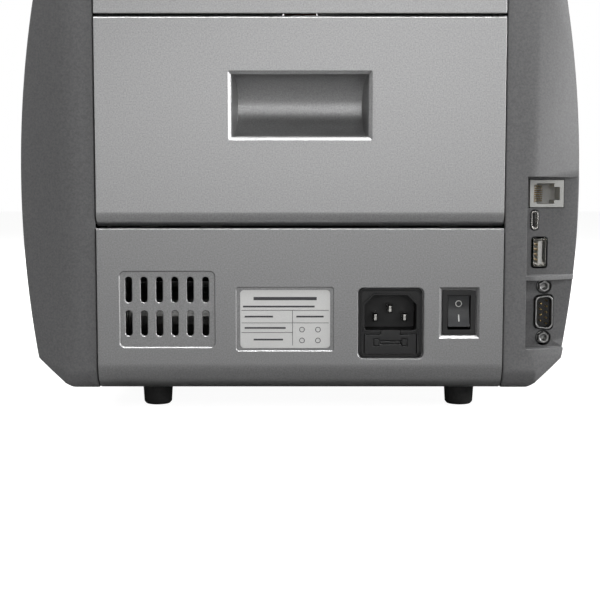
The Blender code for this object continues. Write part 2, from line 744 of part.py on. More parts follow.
# ---- Rear door ----
def door_skin():
    """The panel with its hinge roll, two cheeks and the pocket of the grip."""
    skin = [(REAR, DOOR_TOP - 0.001), (REAR - 0.001, DOOR_TOP), (REAR - WALL, DOOR_TOP)]
    skin += arc((HINGE_Y, HINGE_Z), HINGE_RADIUS - WALL, 0, -180, 8)
    skin += arc((HINGE_Y, HINGE_Z), HINGE_RADIUS, -180, 0, 12)
    door = prism(skin, "X", -PANEL_HALF, PANEL_HALF)
    for side in (-1, 1):
        end = ((side * (PANEL_HALF - 0.002), HINGE_Y, HINGE_Z), (side * PANEL_HALF, HINGE_Y, HINGE_Z))
        join(door, rod(*end, HINGE_RADIUS - 0.0008))
        join(door, rod((side * 0.0945, HINGE_Y, HINGE_Z), (side * PIN_END, HINGE_Y, HINGE_Z), HINGE_PIN))
        cheek = rounded(
            [(0.1030, 0.1000), (REAR - 0.001, 0.1000), (REAR - 0.001, 0.1800), (0.1040, 0.1740)],
            [0.004, 0, 0, 0.004], 2,
        )
        join(door, prism(cheek, "X", side * 0.0885, side * 0.0905))
    opening = 0.0291
    scoop_y = REAR - 0.0020
    scoop_z = GRIP_Z - opening / 2 + GRIP_RADIUS - 0.0005
    around = GRIP_RADIUS + 0.0018
    shell = arc((scoop_y, scoop_z), around, 90, 270, 12)
    shell += [(REAR - 0.001, scoop_z - around), (REAR - 0.001, scoop_z + around)]
    join(door, prism(shell, "X", -GRIP_HALF - 0.002, GRIP_HALF + 0.002))
    scoop = arc((scoop_y - 0.0005, scoop_z), GRIP_RADIUS - 0.0005, 90, 270, 12)
    pocket = prism(scoop, "X", -GRIP_HALF, GRIP_HALF)
    cut(door, common(pocket, grip_ends()))
    cut(door, flared_recess((0, GRIP_Z), 2 * GRIP_HALF, opening, 0.0016, 0.0028))
    for z in (UPPER_DRIVE[1], LOWER_DRIVE[1]):
        cut(door, rod((-0.1, IDLER_Y, z), (0.1, IDLER_Y, z), 0.0020 + GAP, sides=12))
    return door


def grip_ends():
    """A block that narrows inwards, which gives the pocket's two ends their draft."""
    rings = []
    for y, half in ((REAR - 0.022, GRIP_HALF - 0.0030), (REAR - 0.002, GRIP_HALF - 0.0001)):
        rings.append([(x, y, z) for x, z in rectangle((0, GRIP_Z), 2 * half, 0.060)])
    return loft(rings)


def rear_door():
    hinge = pivot_empty("rear_door_hinge", (0, HINGE_Y, HINGE_Z))
    part(door_skin(), "rear_door", "silver_plastic", parent=hinge, pivot=(0, HINGE_Y, HINGE_Z))
    door_guide(hinge)
    sensor = block((-0.0840, 0.1028, 0.1210), (0.0840, 0.1090, 0.1330))
    part(sensor, "door_sensor_bar", "black_plastic", parent=hinge)
    for name, z in (("door_idler_upper", UPPER_DRIVE[1]), ("door_idler_lower", LOWER_DRIVE[1])):
        axle = pivot_empty(name + "_axle", (0, IDLER_Y, z), parent=hinge)
        stations = roller_stations(0.0020, IDLER_R, 0.010, 0.0920)
        part(turned(stations, "X", (0, IDLER_Y, z), 16), name, "white_plastic", parent=axle)


def door_guide(hinge):
    """The outer wall of the note path, with a window for each idler and for the sensor."""
    front, back = 0.1026, 0.1046
    outline = [
        (0.0985, 0.0975), (0.1005, 0.0968), (back, 0.1040), (back, 0.1670), (0.1015, 0.1760),
        (0.0995, 0.1752), (front, 0.1664), (front, 0.1046),
    ]
    guide = prism(outline, "X", -0.0880, 0.0880)
    for z, below in ((UPPER_DRIVE[1], 0.0085), (LOWER_DRIVE[1], 0.0200)):
        for x in signed(ROLLER_X):
            cut(guide, block((x - 0.0068, 0.09, z - below), (x + 0.0068, 0.12, z + 0.0085)))
    cut(guide, block((-0.0843, 0.09, 0.1207), (0.0843, 0.12, 0.1333)))
    return part(guide, "door_guide", "black_plastic", parent=hinge)


def signed(places):
    return [side * x for x in places for side in (-1, 1)]


def roller_stations(shaft, radius, width, end, pulley=None, places=ROLLER_X):
    """The turned profile of a shaft along X with rollers on it, and perhaps a toothed pulley at +X."""
    stations = [(-end, shaft)]
    for x in sorted(signed(places)):
        stations += [
            (x - width / 2, shaft), (x - width / 2, radius), (x + width / 2, radius),
            (x + width / 2, shaft),
        ]
    if pulley is None:
        return stations + [(end, shaft)]
    return stations + [(PULLEY_IN, shaft), (PULLEY_IN, pulley), (PULLEY_OUT, pulley)]


# ---- Note path ----
def transport_rollers():
    def roller(name, place, radius, finish, **more):
        stations = roller_stations(SHAFT, radius, ROLLER_WIDTH, 0.0955, **more)
        axle = pivot_empty(name + "_axle", (0, *place))
        part(turned(stations, "X", (0, *place), 16), name, finish, parent=axle)

    roller("upper_drive_roller", UPPER_DRIVE, DRIVE_R, "roller_rubber", pulley=DRIVE_PULLEY)
    roller("lower_drive_roller", LOWER_DRIVE, DRIVE_R, "roller_rubber", pulley=DRIVE_PULLEY)
    roller("feed_roller", FEED, FEED_R, "roller_rubber", pulley=FEED_PULLEY, places=(FEED_X,))
    roller("pickup_roller", PICKUP, PICKUP_R, "roller_rubber", pulley=FEED_PULLEY, places=(FEED_X,))
    axle = pivot_empty("exit_idler_axle", (0, *EXIT_IDLER))
    stations = roller_stations(EXIT_SHAFT, EXIT_IDLER_R, 0.010, 0.0955)
    part(turned(stations, "X", (0, *EXIT_IDLER), 16), "exit_idler", "white_plastic", parent=axle)
    y, z = retard_place()
    axle = pivot_empty("retard_roller_axle", (0, y, z))
    stations = [
        (-0.0125, 0.0015), (-0.0080, 0.0015), (-0.0080, RETARD_R), (0.0080, RETARD_R),
        (0.0080, 0.0015), (0.0125, 0.0015),
    ]
    part(turned(stations, "X", (0, y, z), 16), "retard_roller", "roller_rubber", parent=axle)


def retard_place():
    reach = FEED_R + RETARD_R + GAP
    return FEED[0] + reach * math.cos(RETARD_ANGLE), FEED[1] + reach * math.sin(RETARD_ANGLE)


def inner_guide():
    """The inner wall of the note path, down behind the rollers and forwards under them."""
    wall = [
        (0.0975, 0.1065), (0.0995, 0.1065), (0.0995, 0.1600), (0.0955, 0.1640), (0.0940, 0.1625),
        (0.0975, 0.1590),
    ]
    guide = prism(wall, "X", -0.0915, 0.0915)
    shelf = [(0.0200, 0.0925), (0.0700, 0.0925), (0.0700, 0.0945), (0.0200, 0.0945)]
    join(guide, prism(shelf, "X", -0.0915, 0.0915))
    for side in (-1, 1):
        web = [
            (0.0200, 0.0930), (0.0700, 0.0930), (0.0700, 0.1265), (0.0990, 0.1265),
            (0.0990, 0.1300), (0.0650, 0.1300), (0.0200, 0.0980),
        ]
        join(guide, prism(web, "X", side * 0.0895, side * 0.0915))
    for z in (UPPER_DRIVE[1], LOWER_DRIVE[1]):
        for x in signed(ROLLER_X):
            cut(guide, block((x - 0.0075, 0.09, z - 0.0155), (x + 0.0075, 0.12, z + 0.0155)))
    cut(guide, block((-0.0843, 0.09, 0.1257), (0.0843, 0.12, 0.1383 - 0.0085)))
    return part(guide, "inner_guide", "black_plastic")


def exit_chute():
    """The lower wall of the note path: round under the lower roller, then forwards."""
    bend = arc(LOWER_DRIVE, 0.0185, -48, -90, 5)
    back = arc(LOWER_DRIVE, 0.0205, -90, -48, 5)
    outline = bend + [(0.0240, 0.0895), (0.0240, 0.0875)] + back
    chute = prism(outline, "X", -0.0895, 0.0895)
    for x in signed(ROLLER_X):
        cut(
            chute,
            block(
                (x - 0.0065, EXIT_IDLER[0] - 0.0080, 0.08),
                (x + 0.0065, EXIT_IDLER[0] + 0.0080, 0.10),
            ),
        )
    return part(chute, "exit_chute", "black_plastic")


def inner_sensor_bar():
    bar = block((-0.0840, 0.0925, 0.1220), (0.0840, 0.0970, 0.1255))
    join(bar, block((-0.0840, 0.0925, 0.1220), (0.0840, 0.0965, 0.1298)))
    return part(bar, "inner_sensor_bar", "black_plastic")


# ---- Stacker ----
def stacker_liner():
    floor_front, floor_rear, back_top = (
        Vector(p)
        for p in (POCKET_FLOOR_FRONT, POCKET_FLOOR_REAR, POCKET_BACK_TOP)
    )
    drop = Vector((0, -0.0022))
    shove = Vector((0.0022, 0))
    bowl = [tuple(floor_front), tuple(floor_rear), tuple(back_top), tuple(back_top + shove)]
    bowl += [tuple(floor_rear + drop + shove), tuple(floor_front + drop)]
    liner = prism(bowl, "X", -0.0922, 0.0922)
    front, lip = LINER_FRONT, CHIN_TOP + GAP
    ceiling = [(front, 0.1167), (-0.0300, 0.1138), (-0.0300, 0.1116), (front, 0.1145)]
    join(liner, prism(ceiling, "X", -0.0922, 0.0922))
    for side in (-1, 1):
        wall = [
            (front + 0.0005, lip), (-0.1112, lip), (-0.1112, 0.0437), (-0.0600, 0.0345),
            (-0.0300, 0.0345),
        ]
        wall += [(-0.0300, 0.1130), (front + 0.0005, 0.1160)]
        join(liner, prism(wall, "X", side * 0.0902, side * 0.0921))
        join(
            liner,
            block_between((side * 0.0903, front, lip), (side * PANEL_HALF, front + 0.0020, 0.1165)),
        )
        cut(
            liner,
            block(
                (side * WHEEL_X - 0.0085, -0.0700, 0.0400),
                (side * WHEEL_X + 0.0085, -0.0320, 0.0900),
            ),
        )
    cut(liner, rod((-0.1, *STACKER), (0.1, *STACKER), SHAFT + 0.001, sides=16))
    return part(liner, "stacker_liner", "black_plastic")


WHEEL_X = 0.030
WHEEL_WIDTH = 0.012
FINGERS = 12


def stacker():
    axle = pivot_empty("stacker_axle", (0, *STACKER))
    shaft = turned([(-0.0955, SHAFT), (0.0965, SHAFT)], "X", (0, *STACKER), 16)
    part(shaft, "stacker_shaft", "steel", parent=axle)
    for side, name in ((-1, "stacker_wheel_left"), (1, "stacker_wheel_right")):
        x = side * WHEEL_X
        outline = [(STACKER[0] + y, STACKER[1] + z) for y, z in wheel_outline()]
        wheel = prism(outline, "X", x - WHEEL_WIDTH / 2, x + WHEEL_WIDTH / 2)
        cut(wheel, rod((x - 0.02, *STACKER), (x + 0.02, *STACKER), SHAFT + GAP, sides=16))
        part(wheel, name, "black_plastic", parent=axle, pivot=(x, *STACKER))


def wheel_outline():
    """A stacker wheel: curved fingers that trail behind the turn, round a hub."""
    outline = []
    hub, tip, sweep, thick = 0.010, STACKER_R, math.radians(75), 0.0014
    steps = 6
    for finger in range(FINGERS):
        start = 2 * math.pi * finger / FINGERS
        leading, trailing = [], []
        for k in range(steps + 1):
            share = k / steps
            radius = hub + (tip - hub) * share
            angle = start - sweep * share**1.15
            half = (thick / 2) * (1.3 - 0.6 * share) / radius / max(0.45, math.cos(1.1 * share))
            leading.append((radius * math.cos(angle - half), radius * math.sin(angle - half)))
            trailing.append((radius * math.cos(angle + half), radius * math.sin(angle + half)))
        outline += leading + trailing[::-1]
    return outline


# ---- Drives ----
def belt(name, pulleys, thickness=0.0014):
    def around(grow):
        points = []
        for (y, z), radius in pulleys:
            points += [(round(p, 7), round(q, 7)) for p, q in arc((y, z), radius + grow, 0, 345, 23)]
        return hull(points)

    loop = prism(around(GAP + thickness), "X", PULLEY_IN + 0.0005, PULLEY_OUT - 0.0005)
    cut(loop, prism(around(GAP), "X", PULLEY_IN - 0.01, PULLEY_OUT + 0.01))
    return part(loop, name, "rubber")


def motor_pulley(name, place, end):
    axle = pivot_empty(name + "_axle", (0, *place))
    stations = [
        (end, 0.0020), (PULLEY_IN, 0.0020), (PULLEY_IN, MOTOR_PULLEY), (PULLEY_OUT, MOTOR_PULLEY)
    ]
    part(turned(stations, "X", (0, *place), 16), name, "steel", parent=axle)


def drives():
    face = PLATE_IN - GAP
    (y, z), r = MAIN_MOTOR, MAIN_MOTOR_R
    motor = turned(
        [
            (0.0440, 0.0080), (0.0460, 0.0080), (0.0460, r), (face - 0.002, r),
            (face - 0.002, 0.0170), (face, 0.0170),
        ],
        "X", (0, y, z), 24,
    )
    part(motor, "main_motor", "steel")
    (y, z), r = FEED_MOTOR, FEED_MOTOR_R
    outline = rounded(rectangle((y, z), 2 * r, 2 * r), [0.003] * 4, 2)
    part(prism(outline, "X", 0.0560, face), "feed_motor", "steel")
    y, z = STACKER
    outline = soft_rectangle((y, z), 0.035, 0.035, 0.005)
    part(prism(outline, "X", 0.0970, 0.1130), "stacker_motor", "steel")
    motor_pulley("main_motor_pulley", MAIN_MOTOR, face + GAP)
    motor_pulley("feed_motor_pulley", FEED_MOTOR, face + GAP)
    belt(
        "main_belt",
        ((MAIN_MOTOR, MOTOR_PULLEY), (LOWER_DRIVE, DRIVE_PULLEY), (UPPER_DRIVE, DRIVE_PULLEY)),
    )
    belt("feed_belt", ((FEED_MOTOR, MOTOR_PULLEY), (FEED, FEED_PULLEY), (PICKUP, FEED_PULLEY)))


# ---- Hopper ----
def hopper_tray():
    rear, front = FLOOR_REAR, (FLOOR_FRONT_Y, floor_z(FLOOR_FRONT_Y))
    apron_low = arc(FEED, 0.0118, 135, 46, 6)
    apron_back = arc(FEED, 0.0098, 46, 135, 6)
    profile = [
        (-0.0560, 0.2205), front, rear, *apron_low, *apron_back, (rear[0] - 0.001, rear[1] - 0.0036)
    ]
    profile += [(front[0], front[1] - WALL), (-0.0560, 0.2165), (-0.0680, 0.2165), (-0.0680, 0.2205)]
    tray = prism(profile, "X", -0.0922, 0.0922)
    for side in (-1, 1):
        wall = [
            (-0.0560, 0.2205), (-0.0560, 0.2170), (-0.0450, 0.2100), (0.0560, 0.1830),
            (0.0700, 0.1790), (0.0840, 0.1840), (0.0900, 0.2205),
        ]
        join(tray, prism(wall, "X", side * HOPPER_HALF, side * 0.0922))
        join(
            tray,
            block_between((side * HOPPER_HALF, -0.0680, 0.2185), (side * PANEL_HALF, 0.0900, 0.2205)),
        )
        for y, z, half in ((*PICKUP, 0.0150), (*FEED, 0.0160)):
            x = side * FEED_X
            cut(tray, block((x - 0.0075, y - half, z - 0.01), (x + 0.0075, y + half, z + 0.03)))
        slot = (
            (side * (GUIDE_X - GUIDE_TRAVEL - 0.0025), PINION[1] - 0.0045, 0.19),
            (side * (GUIDE_X + 0.0021), PINION[1] + 0.0045, 0.21),
        )
        cut(tray, block_between(*slot))
        y, z = FEED
        cut(tray, rod((side * 0.08, y, z), (side * 0.10, y, z), SHAFT + 0.001, sides=16))
        y, z = PICKUP
        cut(tray, rod((side * 0.08, y, z), (side * 0.10, y, z), SHAFT + 0.001, sides=16))
    x, y = PINION
    join(tray, rod((x, y, RACK_Z[0] - 0.0005), (x, y, floor_z(y) - 0.001), 0.0020, sides=12))
    join(tray, rod((x, y, RACK_Z[1] + GAP), (x, y, floor_z(y) - 0.001), 0.0045, sides=12))
    return part(tray, "hopper_tray", "black_plastic")


def block_between(one, other):
    return block([min(a, b) for a, b in zip(one, other)], [max(a, b) for a, b in zip(one, other)])


def hopper_guides():
    for side, name in ((-1, "hopper_guide_left"), (1, "hopper_guide_right")):
        lift = 0.0005
        fin = [
            (0.0560, floor_z(0.0560) + lift), (0.0700, 0.2330), (0.0050, 0.2390),
            (-0.0260, floor_z(-0.0260) + lift),
        ]
        fin = rounded(fin, [0.001, 0.006, 0.012, 0.001], 3)
        x = side * GUIDE_X
        pitch = PINION_TEETH * TOOTH_MODULE / 2
        guide = prism(rack_outline(side, pitch), "Z", *RACK_Z)
        stem = [
            (-0.0154, RACK_Z[0] + 0.0009), (-0.0086, RACK_Z[0] + 0.0009), (-0.0084, 0.2103),
            (-0.0157, 0.2107),
        ]
        join(guide, prism(stem, "X", x - 0.0007, x + 0.0007))
        join(guide, prism(fin, "X", x - 0.0010, x + 0.0010))
        part(guide, name, "black_plastic", pivot=(x, PINION[1], RACK_Z[0]))


RACK_END = -0.0200  # how far a rack reaches past the pinion's middle


def rack_outline(side, pitch):
    """A rack along X on one side of the pinion, in x and y. The right guide's is behind it."""
    step = math.pi * TOOTH_MODULE
    addendum, dedendum, back = 0.9 * TOOTH_MODULE, 1.15 * TOOTH_MODULE, 0.0026
    half_gap = step / 4 + 0.00010
    lean = math.tan(TOOTH_ANGLE)
    points = [
        (RACK_END, pitch + dedendum), (RACK_END, pitch + back), (GUIDE_X + 0.0012, pitch + back),
        (GUIDE_X + 0.0012, -0.0040),
    ]
    points += [(GUIDE_X - 0.0012, -0.0040), (GUIDE_X - 0.0012, pitch + dedendum)]
    # Space by space towards the far end: a space lies opposite each tooth of the pinion.
    last = int((GUIDE_TRAVEL + 0.012) / step)
    for k in range(last, -6, -1):
        middle = k * step
        root = half_gap - dedendum * lean
        crest = half_gap + addendum * lean
        points += [(middle + crest, pitch - addendum)] if k < last else [
            (middle + crest + 0.0004, pitch + dedendum), (middle + crest, pitch - addendum)
        ]
        deep = pitch + dedendum + 0.00003 * (k % 3)
        points += [
            (middle + root, deep), (middle - root, deep + 0.00001),
            (middle - crest, pitch - addendum),
        ]
    points += [(-5 * step - crest - 0.0004, pitch + dedendum)]
    return [(side * x + PINION[0], side * y + PINION[1]) for x, y in points]


def guide_pinion():
    """The pinion that makes the two guides move together. Tooth 0 points along +Y."""
    pitch = PINION_TEETH * TOOTH_MODULE / 2
    base = pitch * math.cos(TOOTH_ANGLE)
    tip, root = pitch + 0.9 * TOOTH_MODULE, pitch - 1.1 * TOOTH_MODULE

    def involute(angle):
        return math.tan(angle) - angle

    half_tooth = math.pi / (2 * PINION_TEETH) - 0.00010 / pitch
    outline = []
    for tooth in range(PINION_TEETH):
        middle = math.pi / 2 + 2 * math.pi * tooth / PINION_TEETH
        flank_points = []
        for k in range(4):
            radius = max(root, base) + (tip - max(root, base)) * k / 3
            pressure = math.acos(min(1.0, base / radius))
            half = half_tooth + involute(TOOTH_ANGLE) - involute(pressure)
            flank_points.append((radius, half))
        sides = [(root, flank_points[0][1])] + flank_points
        outline += [(r * math.cos(middle - h), r * math.sin(middle - h)) for r, h in sides]
        outline += [(r * math.cos(middle + h), r * math.sin(middle + h)) for r, h in reversed(sides)]
    x, y = PINION
    pinion = prism([(x + u, y + v) for u, v in outline], "Z", *RACK_Z)
    cut(pinion, rod((x, y, 0.18), (x, y, 0.21), 0.0020 + GAP, sides=12))
    return part(pinion, "guide_pinion", "white_plastic", pivot=(x, y, RACK_Z[0]))


def adjust_knob():
    centre = (0, 0.1195, 0)
    knob = turned(
        [(0.2090, 0.0030), (0.2225, 0.0030), (0.2225, 0.0070), (0.2290, 0.0066), (0.2300, 0.0056)],
        "Z", centre, 20,
    )
    return part(knob, "adjust_knob", "black_plastic")


# ---- Rear electrics ----
def power_inlet():
    face = REAR - 0.0045 + GAP + 0.0017
    seat = REAR - 0.0045 + GAP
    inlet = prism(soft_rectangle(INLET, 0.0304, 0.0329, 0.0023), "Y", seat, seat + 0.0007)
    join(inlet, prism(soft_rectangle(INLET, 0.0280, 0.0304, 0.0014), "Y", seat + 0.0003, face))
    join(inlet, prism(rectangle(INLET, 0.0268, 0.0294), "Y", 0.1010, seat + 0.0005))
    cavity = cavity_outline(0.0248, 0.0169, 0.0045)
    cut(inlet, prism(cavity, "Y", 0.1120, REAR))
    cut(inlet, prism(rectangle((INLET[0], 0.0319), 0.0253, 0.0100), "Y", 0.1080, REAR))
    cut(inlet, prism(rectangle((INLET[0], 0.0375), 0.0095, 0.0030), "Y", face - 0.0022, REAR))
    for x, z, width, height in blades():
        join(
            inlet,
            block((x - width / 2, 0.1050, z - height / 2), (x + width / 2, 0.1245, z + height / 2)),
        )
        join(
            inlet,
            block((x - width / 2, 0.0940, z - height / 2), (x + width / 2, 0.1020, z + height / 2)),
        )
    return part(inlet, "power_inlet", "black_plastic")


def cavity_outline(width, height, cut_off):
    """The plug's outline, with its two upper corners cut off."""
    x, z = INLET[0], INLET_CAVITY_Z
    w, h = width / 2, height / 2
    return [
        (x - w, z - h), (x + w, z - h), (x + w, z + h - cut_off), (x + w - cut_off, z + h),
        (x - w + cut_off, z + h), (x - w, z + h - cut_off),
    ]


def blades():
    """x, z, width and height of the earth blade and the two live ones."""
    x, z = INLET[0], INLET_CAVITY_Z - 0.0025
    return (
        (x, z + 0.0040, 0.0020, 0.0040), (x - 0.0070, z, 0.0020, 0.0040),
        (x + 0.0070, z, 0.0020, 0.0040),
    )


def fuse_drawer():
    face = REAR - 0.0045 + GAP + 0.0017
    drawer = prism(rectangle((INLET[0], 0.0319), 0.0247, 0.0094), "Y", 0.1085, face + 0.0004)
    join(drawer, prism(rectangle((INLET[0], 0.0372), 0.0089, 0.0030), "Y", face - 0.0018, face + 0.0004))
    cut(
        drawer,
        rod((INLET[0] - 0.0105, 0.1150, 0.0320), (INLET[0] + 0.0105, 0.1150, 0.0320), 0.0027, sides=12),
    )
    cut(drawer, block((INLET[0] - 0.0105, 0.1123, 0.0320), (INLET[0] + 0.0105, 0.1177, 0.0380)))
    return part(drawer, "fuse_drawer", "black_plastic", pivot=(INLET[0], face, 0.0319))


def power_switch():
    seat = REAR - 0.0030 + GAP
    frame = prism(rectangle(SWITCH, 0.0158, 0.0212), "Y", seat, seat + 0.0016)
    join(frame, prism(rectangle(SWITCH, 0.0128, 0.0188), "Y", 0.1130, seat + 0.0005))
    cut(frame, prism(rectangle(SWITCH, 0.0109, 0.0162), "Y", 0.1180, REAR))
    for x in (-0.0035, 0.0035):
        join(
            frame,
            block(
                (SWITCH[0] + x - 0.0004, 0.1060, SWITCH[1] - 0.0024),
                (SWITCH[0] + x + 0.0004, 0.1140, SWITCH[1] + 0.0024),
            ),
        )
    part(frame, "switch_frame", "black_plastic")
    pivot = (SWITCH[0], 0.1244, SWITCH[1])
    axle = pivot_empty("switch_pivot", pivot)
    outline = [
        (0.0038, 0.0074), (0.0023, 0.0), (0.0038, -0.0074), (-0.0015, -0.0074), (-0.0060, -0.0030),
        (-0.0060, 0.0030), (-0.0015, 0.0074),
    ]
    place = Matrix.Translation(pivot) @ Matrix.Rotation(ROCKER_TILT, 4, "X")
    rocker = moved(place, prism(outline[::-1], "X", -0.0052, 0.0052))
    part(rocker, "switch_rocker", "black_plastic", parent=axle)


def serial_outline(grow):
    """The D shape of the nine-way port, stood on end with its long side outwards."""
    (x, z), long, short, deep = SERIAL, 0.0169 / 2 + grow, 0.0148 / 2 + grow, 0.0084 / 2 + grow
    corners = [(x - deep, z - long), (x + deep, z - short), (x + deep, z + short), (x - deep, z + long)]
    return rounded(corners, [0.0024] * 4, 2)


def ports():
    x, z = JACK
    face = BAY_FLOOR + 0.0006
    jack = block((x - 0.0081, 0.1000, z - 0.00655), (x + 0.0081, face, z + 0.00655))
    cut(jack, block((x - 0.0035, 0.1060, z - 0.0049), (x + 0.0048, REAR, z + 0.0049)))
    cut(jack, block((x - 0.0062, 0.1060, z - 0.0031), (x + 0.0048, REAR, z + 0.0031)))
    part(jack, "modular_jack", "port_plastic")
    x, z = USB_C
    port = prism(soft_rectangle(USB_C, 0.0032, 0.0089, 0.0015), "Y", 0.1090, face)
    cut(port, prism(soft_rectangle(USB_C, 0.0024, 0.0081, 0.0011), "Y", 0.1110, REAR))
    join(port, block((x - 0.00035, 0.1100, z - 0.0033), (x + 0.00035, face - 0.001, z + 0.0033)))
    join(port, block((x - 0.0016, 0.1040, z - 0.0045), (x + 0.0016, 0.1095, z + 0.0045)))
    part(port, "usb_c_port", "plated_steel")
    x, z = USB_A
    port = prism(rectangle(USB_A, 0.0061, 0.0134), "Y", 0.1010, face)
    cut(port, prism(rectangle(USB_A, 0.0052, 0.0125), "Y", 0.1060, REAR))
    join(port, block((x + 0.0000, 0.1050, z - 0.0055), (x + 0.0019, face - 0.0015, z + 0.0055)))
    part(port, "usb_a_port", "plated_steel")
    x, z = SERIAL
    plate = (BAY_FLOOR - WALL - 0.0013, BAY_FLOOR - WALL - GAP)
    port = prism(soft_rectangle(SERIAL, 0.0122, 0.0308, 0.0010), "Y", *plate)
    join(port, prism(serial_outline(0.0), "Y", plate[0] + 0.0002, face + 0.0014))
    cut(port, prism(serial_outline(-0.0006), "Y", face - 0.0040, REAR))
    join(port, block((x - 0.0050, 0.1030, z - 0.0090), (x + 0.0050, plate[0] + 0.0004, z + 0.0090)))
    for dz in (-SERIAL_SCREWS / 2, SERIAL_SCREWS / 2):
        post = rod((x, plate[1] - 0.0005, z + dz), (x, face + 0.0008, z + dz), 0.0027, sides=6)
        join(port, post)
        cut(port, rod((x, face - 0.0040, z + dz), (x, REAR, z + dz), 0.0013, sides=12))
    part(port, "serial_port", "plated_steel")


def boards():
    board = block((BOARD_X, -0.0600, 0.0260), (BOARD_X + 0.0016, 0.1135, 0.1250))
    for y in (-0.0500, 0.0560):
        for z in (0.0310, 0.1180):
            join(board, rod((BOARD_X + 0.001, y, z), (-PLATE_OUT - GAP, y, z), 0.0026, sides=8))
    for y, z, wide, high, tall in (
        (-0.030, 0.090, 0.024, 0.024, 0.0018), (0.020, 0.095, 0.016, 0.012, 0.0014),
        (-0.020, 0.045, 0.030, 0.008, 0.0080), (0.040, 0.050, 0.012, 0.014, 0.0100),
    ):
        join(
            board,
            block(
                (BOARD_X - tall, y - wide / 2, z - high / 2),
                (BOARD_X + 0.0004, y + wide / 2, z + high / 2),
            ),
        )
    part(board, "main_board", "circuit_board")
    supply = block((-0.0850, 0.0330, 0.0200), (0.0300, 0.0920, 0.0216))
    for low, high in (
        ((-0.060, 0.045, 0.021), (-0.032, 0.075, 0.046)),
        ((-0.022, 0.040, 0.021), (-0.019, 0.085, 0.045)),
        ((0.010, 0.040, 0.021), (0.024, 0.060, 0.036)),
    ):
        join(supply, block(low, high))
    for x, y in ((-0.008, 0.050), (-0.008, 0.072)):
        join(supply, rod((x, y, 0.0210), (x, y, 0.0460), 0.0085, sides=12))
    for x in (-0.080, 0.025):
        for y in (0.038, 0.087):
            join(supply, rod((x, y, CASE_BOTTOM + WALL + GAP), (x, y, 0.0205), 0.0026, sides=8))
    part(supply, "power_supply", "circuit_board")


def build():
    side_cover(-1, "side_cover_left")
    side_cover(1, "side_cover_right")
    base_tray()
    feet()
    chassis_plate(-1, "chassis_plate_left")
    chassis_plate(1, "chassis_plate_right")
    rear_lower_panel()
    rear_top_cover()
    note_support()
    front_fascia()
    front_chin()
    rear_door()
    transport_rollers()
    inner_guide()
    inner_sensor_bar()
    exit_chute()
    stacker_liner()
    stacker()
    drives()
    hopper_tray()
    hopper_guides()
    guide_pinion()
    adjust_knob()
    power_inlet()
    fuse_drawer()
    power_switch()
    ports()
    boards()


build()
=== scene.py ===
"""Looks for the banknote counting machine: each shell is rebuilt with finer curves and rounded edges,
and every surface gets a procedural material. Metres, +Z up, the front faces -Y."""

import json
import math

import bmesh
import bpy
from mathutils import Matrix, Vector

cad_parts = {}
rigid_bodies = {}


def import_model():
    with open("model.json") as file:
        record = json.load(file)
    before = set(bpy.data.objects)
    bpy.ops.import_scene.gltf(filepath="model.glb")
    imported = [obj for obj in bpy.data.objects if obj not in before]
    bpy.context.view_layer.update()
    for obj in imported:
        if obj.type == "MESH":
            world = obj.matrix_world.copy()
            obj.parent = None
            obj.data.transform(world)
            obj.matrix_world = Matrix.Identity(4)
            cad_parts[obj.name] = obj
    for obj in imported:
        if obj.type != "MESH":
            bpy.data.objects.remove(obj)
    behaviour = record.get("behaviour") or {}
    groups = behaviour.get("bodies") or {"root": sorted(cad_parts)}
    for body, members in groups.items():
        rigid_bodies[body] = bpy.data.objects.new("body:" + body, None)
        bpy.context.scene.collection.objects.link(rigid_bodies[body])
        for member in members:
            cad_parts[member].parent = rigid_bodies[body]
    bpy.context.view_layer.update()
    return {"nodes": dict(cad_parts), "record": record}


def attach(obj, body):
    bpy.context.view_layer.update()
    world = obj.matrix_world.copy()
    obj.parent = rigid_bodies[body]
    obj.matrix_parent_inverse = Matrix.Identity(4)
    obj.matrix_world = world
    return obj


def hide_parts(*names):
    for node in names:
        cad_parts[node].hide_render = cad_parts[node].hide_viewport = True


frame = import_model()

BODY_OF = {node: body for body, nodes in frame["record"]["behaviour"]["bodies"].items() for node in nodes}
FINE = 3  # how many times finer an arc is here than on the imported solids

WIDTH = 0.268  # across the bulge of the side covers
DEPTH = 0.260
CASE_BOTTOM = 0.010  # the feet hold the case this far off the desk
CASE_TOP = 0.222
WALL = 0.0025  # of every plastic shell
GAP = 0.0003  # between pieces that rest on each other
SEAM = 0.0006  # between covers
REAR = DEPTH / 2
FRONT = -DEPTH / 2
SET_BACK = 0.0015  # how far the side covers' ends stand inside the panels' faces
PANEL_HALF = 0.0962  # half the width of the panels between the side covers
INNER_HALF = 0.0922  # half the width of what stands between the chassis plates
COVER_INNER = PANEL_HALF + SEAM
COVER_REAR = REAR - SET_BACK
STRIP_EDGE = 0.1125
FACET_SLOPE = 0.53
BULGE_RADIUS = 0.458
BULGE_HEIGHT = 0.109
SKIRT_X = 0.1095  # where the flat underside ends
SKIRT_Z = 0.0245  # where the chamfered lower edge meets the flank
FRONT_TOP_Y = -0.072
KNEE_Z = 0.118  # where the upright front turns into the sloping one
LOWER_TOP = 0.0872
DOOR_BOTTOM = 0.0881
DOOR_TOP = 0.1860
TOP_COVER_BOTTOM = 0.1870
HINGE_RADIUS = 0.007
HINGE_Y = REAR - HINGE_RADIUS
HINGE_Z = DOOR_BOTTOM + HINGE_RADIUS
HINGE_PIN = 0.0016
PIN_END = 0.0996
SHAFT = 0.003
UPPER_DRIVE = (0.0848, 0.146)
LOWER_DRIVE = (0.0848, 0.108)
DRIVE_R = 0.016
IDLER_R = 0.007
IDLER_Y = UPPER_DRIVE[0] + DRIVE_R + GAP + IDLER_R
EXIT_IDLER = (0.0790, 0.08535)
EXIT_SHAFT = 0.0015
FEED = (0.0745, 0.176)
